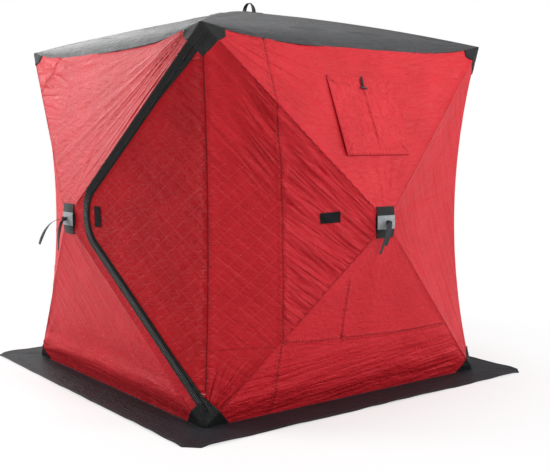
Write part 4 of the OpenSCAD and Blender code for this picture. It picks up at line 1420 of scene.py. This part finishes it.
def ring_of(profile, centre, axis, turns):
    """A turned shape: profile holds (radius, height) pairs, round an axis through the centre."""
    axis = Vector(axis).normalized()
    side = axis.orthogonal().normalized()
    other = axis.cross(side)
    n = len(profile)
    verts = [Vector(centre) + axis * h + (side * math.cos(a) + other * math.sin(a)) * r
             for a in (2 * math.pi * i / turns for i in range(turns)) for r, h in profile]
    faces = [(i * n + j, ((i + 1) % turns) * n + j, ((i + 1) % turns) * n + (j + 1) % n, i * n + (j + 1) % n)
             for i in range(turns) for j in range(n)]
    return verts, faces


def bridged(x, z, height):
    """Height above the cloth of a patch that bridges the flats between the ridges of the poles."""
    depth = wall_frame(x, z)[0] - hub_y
    return height + np.maximum(0, depth - 0.19 * np.hypot(x, z - hub_height))


for wall, side in walls:
    square = rectangle(0, hub_height, hub_patch_width, hub_patch_height)
    patch = laid_on(f"hub_patch_{side}", square, wall, 0.0045,
                    lambda x, z: bridged(x, z, 0.0029) + 0.0008 * bell(to_edge(x, z, square) - 0.006, 0.003)
                    + 0.0005 * noise(x / 0.016, z / 0.016, 61), sewn_gap, webbing, 0.0, True)
    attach(patch, "shell")
    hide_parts("hub_patches")
    strip_across = rectangle(0, hub_height, band_width, band_height)
    band = laid_on(f"reflective_band_{side}", strip_across, wall, 0.0055,
                   lambda x, z: bridged(x, z, 0.0050) + 0.0009 * noise(x / 0.020, z / 0.020, 62 + wall)
                   * rise(to_edge(x, z, strip_across), 0, 0.01),
                   lambda x, z: bridged(x, z, 0.0036), reflective, 0.0)
    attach(band, "shell")
    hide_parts("reflective_bands")

# ---------- straps ----------
# Grey-black flat webbing: a knot on each hub patch with two hanging tails to pull the wall out by, and
# a carrying loop over the roof hub.
strap_finish = ribbed_tape("grey_polyester_strap", "#1E1F21", "#3E4042", 0.006, 0.6, 0.0004)
strap_width, strap_thickness = 0.020, 0.0025


def smooth_path(points):
    """A curve through the points."""
    steps = 8
    p = [2 * points[0] - points[1]] + list(points) + [2 * points[-1] - points[-2]]
    out = []
    for i in range(1, len(p) - 2):
        for s in range(steps):
            t = s / steps
            out.append(0.5 * ((2 * p[i]) + (p[i + 1] - p[i - 1]) * t
                              + (2 * p[i - 1] - 5 * p[i] + 4 * p[i + 1] - p[i + 2]) * t ** 2
                              + (3 * p[i] - p[i - 1] - 3 * p[i + 1] + p[i + 2]) * t ** 3))
    return out + [points[-1]]


def flat_strap(points, across, width=strap_width, thickness=strap_thickness, closed=False):
    """Points, faces and UVs of webbing along a path. across gives its width's direction at each point."""
    n = len(points)
    r = thickness / 2
    section = [(-width / 2, -r * 0.4), (-width / 2 + r, -r), (0, -r * 1.1), (width / 2 - r, -r),
               (width / 2, -r * 0.4), (width / 2, r * 0.4), (width / 2 - r, r), (0, r * 1.1),
               (-width / 2 + r, r), (-width / 2, r * 0.4)]
    m, verts, uv, run = len(section), [], [], 0.0
    for i, p in enumerate(points):
        heading = (points[(i + 1) % n if closed else min(i + 1, n - 1)]
                   - points[(i - 1) % n if closed else max(i - 1, 0)]).normalized()
        a = Vector(across[i]) - heading * Vector(across[i]).dot(heading)
        a.normalize()
        b = heading.cross(a)
        run += (p - points[i - 1]).length if i else 0
        for s, t in section:
            verts.append(p + a * s + b * t)
            uv.append((run, s))
    faces = []
    for i in range(n if closed else n - 1):
        for j in range(m):
            k, q = (i + 1) % n, (j + 1) % m
            faces.append((i * m + j, i * m + q, k * m + q, k * m + j))
    if not closed:
        faces += [tuple(range(m))[::-1], tuple((n - 1) * m + j for j in range(m))]
    return verts, faces, uv


def gather(parts):
    """Several lots of points, faces and UVs as one."""
    verts, faces, uv = [], [], []
    for v, f, t in parts:
        faces += [tuple(i + len(verts) for i in face) for face in f]
        verts += list(v)
        uv += list(t)
    return verts, faces, uv


knot_y = hub_y - 0.0052
knot_depth = 0.016


def strap_knot():
    """Two wraps of the webbing pulled tight round each other."""
    parts = []
    for turn, tilt in ((0.0, 0.35), (1.2, -0.45)):
        path, across = [], []
        for i in range(25):
            a = 2 * math.pi * i / 25
            r = 0.0085 + 0.0012 * math.sin(3 * a + turn)
            p = Vector((r * 1.15 * math.cos(a) + tilt * 0.006,
                        -knot_depth * 0.52 + 0.0025 * math.sin(2 * a + turn), r * math.sin(a)))
            path.append(p + Vector((0, knot_y, hub_height)))
            across.append(Vector((tilt * math.sin(a), 1, tilt * math.cos(a))))
        parts.append(flat_strap(path, across, 0.0125, 0.0032, True))
    core, faces = ring_of([(0.0001, -0.0150), (0.0052, -0.0142), (0.0085, -0.0095), (0.0088, -0.004),
                           (0.0062, -0.0004), (0.0001, 0.0)], (0, knot_y, hub_height), (0, 1, 0), 24)
    parts.append((core, faces, [(v.x, v.z) for v in core]))
    return parts


middle_y = knot_y - knot_depth / 2
front_tails = (
    ([(-8, 0, 0), (-12, -30, -4), (-18, -62, -20), (-26, -88, -52), (-34, -106, -92), (-40, -116, -124)],
     [(1, -0.3, 0), (1, -0.3, 0.1), (1, -0.1, 0.2), (1, 0.2, 0.1), (1, 0.3, 0), (1, 0.1, 0)]),
    ([(6, 0, -2), (8, -16, -14), (9, -28, -44), (8, -34, -84), (6, -36, -124), (3, -36, -156)],
     [(1, 0.2, 0), (1, 0.3, 0), (1, 0.4, 0), (1, 0.2, 0), (1, -0.1, 0), (1, -0.2, 0)]))
side_tails = (
    ([(-4, 0, 0), (-12, -10, -8), (-26, -16, -40), (-42, -16, -82), (-58, -14, -122), (-68, -12, -146)],
     [(1, -0.2, 0), (1, -0.2, 0.3), (1, 0, 0.4), (1, 0.1, 0.4), (1, 0.2, 0.3), (1, 0.1, 0.3)]),
    ([(4, 0, -2), (0, -10, -14), (-12, -14, -46), (-26, -14, -86), (-34, -12, -108)],
     [(1, 0.2, 0), (1, 0.2, 0.2), (1, -0.1, 0.3), (1, -0.2, 0.2), (1, 0, 0.2)]))
for wall, side in walls:
    parts = strap_knot()
    for points, across in (side_tails if wall else front_tails):
        start = Vector((0, middle_y, hub_height))
        path = smooth_path([start + Vector(point) / 1000 for point in points])
        turned = smooth_path([Vector(a) for a in across])
        parts.append(flat_strap(path, turned))
    verts, faces, uv = gather(parts)
    strap = link(f"pull_strap_{side}", place(np.array(verts), wall), faces, uv)
    strap.data.materials.append(strap_finish)
    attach(strap, "shell")
    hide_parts("pull_straps")

loop_width, loop_height, loop_foot = 0.092, 0.056, roof_peak - 0.0045
parts = []
for lean, depth in ((0.10, -0.0065), (-0.16, 0.0065)):
    path, across = [], []
    for i in range(33):
        a = math.pi * i / 32
        path.append(Vector((loop_width / 2 * math.cos(a) + lean * 0.02 * math.sin(a), depth * math.cos(a),
                            loop_foot + loop_height * math.sin(a) * (1 - 0.06 * abs(lean) * 5))))
        across.append(Vector((0.2 * math.sin(2 * a), 1, lean)))
    parts.append(flat_strap(path, across, 0.013))
verts, faces, uv = gather(parts)
roof_loop = link("roof_loop", verts, faces, uv)
roof_loop.data.materials.append(strap_finish)
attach(roof_loop, "shell")
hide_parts("pull_straps")

# The square of webbing over the roof hub, under the loop's feet
parts = []
for wall in range(4):
    us = np.linspace(0.001, 0.999, 13)
    rows = [roof_point(us, np.full_like(us, r)) for r in np.linspace(0.004, 0.062, 8)]
    verts, faces = layered([r + (0, 0, 0.0032) for r in rows], [r + (0, 0, 0.0006) for r in rows])
    verts = place(verts, wall)
    parts.append(([Vector(v) for v in verts], faces, [(v[0], v[1]) for v in verts]))
verts, faces, uv = gather(parts)
roof_patch = link("hub_patch_roof", verts, faces, uv)
roof_patch.data.materials.append(webbing)
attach(roof_patch, "shell")
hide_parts("hub_patches")

# ---------- hook-and-loop tabs ----------
# A black nylon tab on the door and one on the right wall, sewn round their edges, which hold the door
# when it is folded back. The pile drinks up light, so they are the darkest trim of all.
hook_and_loop, tree, shader = new_finish("nylon_hook_and_loop", roughness=0.85, ior=1.5,
                                         specular_ior_level=0.25)
where = add(tree, "ShaderNodeUVMap", uv_map="cut")
# loops are 0.3 mm across, drawn at 1.5 mm
pile = add(tree, "ShaderNodeTexVoronoi", {"Vector": where, "Scale": 650.0})
tones = add(tree, "ShaderNodeValToRGB", {"Fac": pile}, ((0, "#08090B"), (1, "#15171A")))
wire(tree, shader, {"Base Color": tones})
raise_surface(tree, shader, [(pile, 0.0008)])
tab_height, tab_width = 0.100, 0.036
tab_x = bend_x - math.sqrt((zip_bend - zip_width / 2) ** 2 - (tab_height / 2) ** 2) + 0.002 + tab_width / 2


def tab(name, outline, wall):
    return laid_on(name, outline, wall, 0.006, lambda x, z: 0.0030 + 0.0006 * rise(
        to_edge(x, z, outline), 0.001, 0.004), sewn_gap, hook_and_loop)


door_tab_piece = tab("door_hold_tab", rectangle(tab_x, bend_z, tab_width, tab_height), 0)
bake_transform(door_tab_piece)
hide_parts("door_tab")
wall_tab_outline = rectangle(-0.272, bend_z + 0.010, 0.095, 0.050, 4)
wall_tab_piece = tab("wall_hold_tab", wall_tab_outline, 1)
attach(wall_tab_piece, "shell")
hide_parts("right_wall_tab")

# ---------- toggles ----------
# A short strap at the top of each flap with a moulded nylon bar, which holds the flap when it is rolled
# up. The strap is sewn in under the flap's top hem, and the bar has a low satin shine.
moulded_nylon = grained("moulded_black_nylon", "#141517", "#222326", 420.0, 2.0, 0.0004,
                        roughness=0.42, ior=1.53)
toggle_x, toggle_length, toggle_bar = -flap_slant / 4, 0.062, 0.046
for wall, side in walls[1:]:
    zs = np.linspace(flap_top - 0.002, flap_top - toggle_length + 0.002, 14)
    run = on_wall(np.full_like(zs, toggle_x), zs, 0, 0.0105, 0.0)
    path = [Vector(p) for p in run]
    verts, faces, uv = flat_strap(path, [Vector((1, 0, 0))] * len(path), 0.012, 0.0022)
    strap = link("toggle_strap", place(np.array(verts), wall), faces, uv)
    strap.data.materials.append(webbing)
    bar_middle = path[-1] + Vector((0, -0.0035, 0.002))
    end = [(0.0001, -toggle_bar / 2), (0.0030, -toggle_bar / 2 + 0.0004), (0.0044, -toggle_bar / 2 + 0.0030),
           (0.0046, -0.0100), (0.0036, -0.0075)]
    profile = [*end, (0.0034, 0.0), *[(r, -h) for r, h in end[::-1]]]
    verts, faces = ring_of(profile, bar_middle, (1, 0, -0.08), 20)
    bar = link("toggle_bar", place(np.array([tuple(v) for v in verts]), wall), faces, [(0, 0)] * len(verts))
    bar.data.materials.append(moulded_nylon)
    toggle = join(f"flap_toggle_{side}", [strap, bar])
    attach(toggle, "shell")
    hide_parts("flap_toggles")

# ---------- stitching ----------
# Lockstitch in thread of each cloth's colour: along both lips of the seams drawn on the walls, round the hub
# patches and the wall's hold tab, along the corner patches' free edges and the wall's zip tape, along the
# roof's hem and ridges and the skirt's edges.
stitch_pitch = 0.0075


def along_drawn(lines, offsets, out, wall):
    """Rows beside drawn lines, which stop a stitch short of the ground."""
    return [on_line([p for p in spaced(line, 0.012) if p[1] > 0.003], o, out, wall)
            for line in lines for o in offsets]


def inset(outline, by):
    """The outline of a piece, moved inwards, as a closed line."""
    cx, cz = np.mean(np.array(outline), 0)
    ring = spaced(outline, 0.010, True)
    out = []
    for x, z in ring:
        length = math.hypot(x - cx, z - cz)
        out.append((x - (x - cx) / length * by * 1.2, z - (z - cz) / length * by * 1.2))
    return out + out[:1]


for wall, side in walls:
    drawn_seams = front_seams if wall == 0 else wall_seams
    rows = along_drawn(drawn_seams, (0.0045, -0.0045), 0.0003, wall)
    seams = set_along(f"wall_stitches_{side}", rows, stitch_shape, stitch_pitch, red_thread, 10 + wall)
    ring = np.array(inset(rectangle(0, hub_height, hub_patch_width, hub_patch_height), 0.006))
    patches = [on_wall(ring[:, 0], ring[:, 1], wall, bridged(ring[:, 0], ring[:, 1], 0.0036), 0.0)]
    for top in (True, False):
        outline = corner_outline(top)
        for sign in (1, -1):
            edge = [(sign * x, z) for x, z in (outline[:3] if top else [outline[-1], outline[0]])]
            patches.append(on_line(spaced(edge, 0.01)[1:], sign * (0.006 if top else -0.006), 0.0046, wall))
    if wall == 0:
        patches += [on_line(wall_zip_path, o, 0.0036, 0) for o in (-0.0100, -0.0272)]
    if wall == 1:
        patches.append(on_line(inset(wall_tab_outline, 0.003), 0, 0.0038, 1))
    black = set_along(f"patch_stitches_{side}", patches, stitch_shape, stitch_pitch, black_thread, 20 + wall)
    us = np.linspace(0.06, 0.94, 160)
    plateau = 1 - (2 * us - 1) ** 4
    hem = [band_point(us, band_drop * plateau - o) for o in (0.006, 0.014)]
    for h in hem:
        h[:, 1] -= 0.0022 * plateau
    ridge = [roof_point(np.full(60, 0.004), np.linspace(0.07, 0.93, 60))]
    skirt_run = np.linspace(-1, 1, 120)
    edge = []
    for d in (0.006, skirt_width - 0.009, skirt_width - 0.018):
        x = skirt_run * (half + d - 0.05)
        z = skirt_wave(x, d, 900 + 10 * wall) + skirt_thickness + (0.0012 if d > 0.1 else 0.0003)
        edge.append(np.stack([x, np.full_like(x, -(skirt_start + d)), z], 1))
    grey = set_along(f"hem_stitches_{side}", [place(p, wall) for p in hem + ridge + edge], stitch_shape,
                     stitch_pitch, charcoal_thread, 30 + wall)
    for piece, slot in ((seams, "red_quilt"), (black, "black_webbing"), (grey, "roof_cloth")):
        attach(piece, "shell")
bpy.data.objects.remove(stitch_shape)

# ---------- frame of poles ----------
# Moulded nylon hubs, solid fibreglass poles pultruded with a resin skin, and nylon balls in the corner
# pockets. The poles are pale and faintly streaked by their fibres.
fibreglass = grained("pultruded_fibreglass", "#C9C5B6", "#E2DFD4", 160.0, 4.0, 0.0005,
                     roughness=0.38, ior=1.52)
for finish, names in ((moulded_nylon, ("pole_hubs", "corner_balls")),
                      (fibreglass, ("roof_poles", "front_poles", "right_poles", "back_poles", "left_poles"))):
    for name in names:
        node = frame["nodes"][name]
        node.data.materials.clear()
        node.data.materials.append(finish)

# ---------- floor and light ----------
# A pale studio floor, one big soft light overhead and others round it. The floor turns into the same
# plain white as the backdrop a little way out from the hut.
floor_finish, tree, shader = new_finish("pale_studio_floor", roughness=0.9, specular_ior_level=0.0)
wire(tree, shader, {"Base Color": linear("#F4F4F4")})
spot = add(tree, "ShaderNodeTexCoord").outputs["Object"]
outwards = add(tree, "ShaderNodeVectorMath", {0: spot}, operation="LENGTH").outputs["Value"]
fade = add(tree, "ShaderNodeMapRange", {"Value": outwards, "From Min": 0.9, "From Max": 2.6,
                                        "To Min": 0.50, "To Max": 1.0}, interpolation_type="SMOOTHSTEP")


def any_ray(tree, first, second):
    """1 for a ray of either kind, and the light path itself."""
    rays = add(tree, "ShaderNodeLightPath").outputs
    return add(tree, "ShaderNodeMath", {0: rays[first], 1: rays[second]}, operation="MAXIMUM"), rays


mirrored_ray, rays = any_ray(tree, "Is Glossy Ray", "Is Transmission Ray")
seen = add(tree, "ShaderNodeMath", {0: rays["Is Camera Ray"], 1: mirrored_ray}, operation="MAXIMUM")
white = add(tree, "ShaderNodeEmission", {"Color": (1, 1, 1, 1), "Strength": 1.0})
share = add(tree, "ShaderNodeMath", {0: fade, 1: seen}, operation="MULTIPLY")
both = add(tree, "ShaderNodeMixShader", {0: share, 1: shader, 2: white})
wire(tree, tree.nodes["Material Output"], {"Surface": both})
bpy.ops.mesh.primitive_plane_add(size=30, location=(0, 0, -0.0005))
floor = bpy.context.object
floor.name = "floor"
floor.data.materials.append(floor_finish)


def soft_light(name, location, aim, width, height, power):
    data = bpy.data.lights.new(name, "AREA")
    data.shape, data.size, data.size_y, data.energy = "RECTANGLE", width, height, power
    light = bpy.data.objects.new(name, data)
    bpy.context.scene.collection.objects.link(light)
    light.location = location
    light.visible_camera = False
    light.rotation_euler = (Vector(aim) - Vector(location)).to_track_quat("-Z", "Y").to_euler()


soft_light("overhead_softbox", (0.0, 0.0, 5.0), (0, 0, 0), 4.0, 4.0, 110)
soft_light("left_softbox", (-3.4, -3.8, 3.0), (0, 0, 1.1), 2.4, 2.4, 227)
soft_light("right_softbox", (4.2, 4.4, 2.6), (0, 0, 1.1), 2.4, 2.4, 135)
soft_light("high_right_softbox", (4.4, 0.4, 4.2), (0, 0, 1.0), 2.0, 2.0, 115)
soft_light("back_left_softbox", (-5.4, 0.0, 4.2), (0, -0.5, 1.9), 4.0, 2.6, 160)
soft_light("camera_fill", (5.0, -3.8, 2.2), (0, 0, 1.0), 2.4, 2.4, 20)

world = bpy.data.worlds.new("pale_room")
bpy.context.scene.world = world
world.use_nodes = True
tree = world.node_tree
seen_ray, rays = any_ray(tree, "Is Camera Ray", "Is Transmission Ray")
glow = add(tree, "ShaderNodeMath", {0: rays["Is Glossy Ray"], 1: 0.30, 2: 0.15}, operation="MULTIPLY_ADD")
strength = add(tree, "ShaderNodeMath", {0: glow, 1: seen_ray}, operation="MAXIMUM")
wire(tree, tree.nodes["Background"], {"Color": (1, 1, 1, 1), "Strength": strength})

bpy.context.scene.view_settings.view_transform = "Standard"
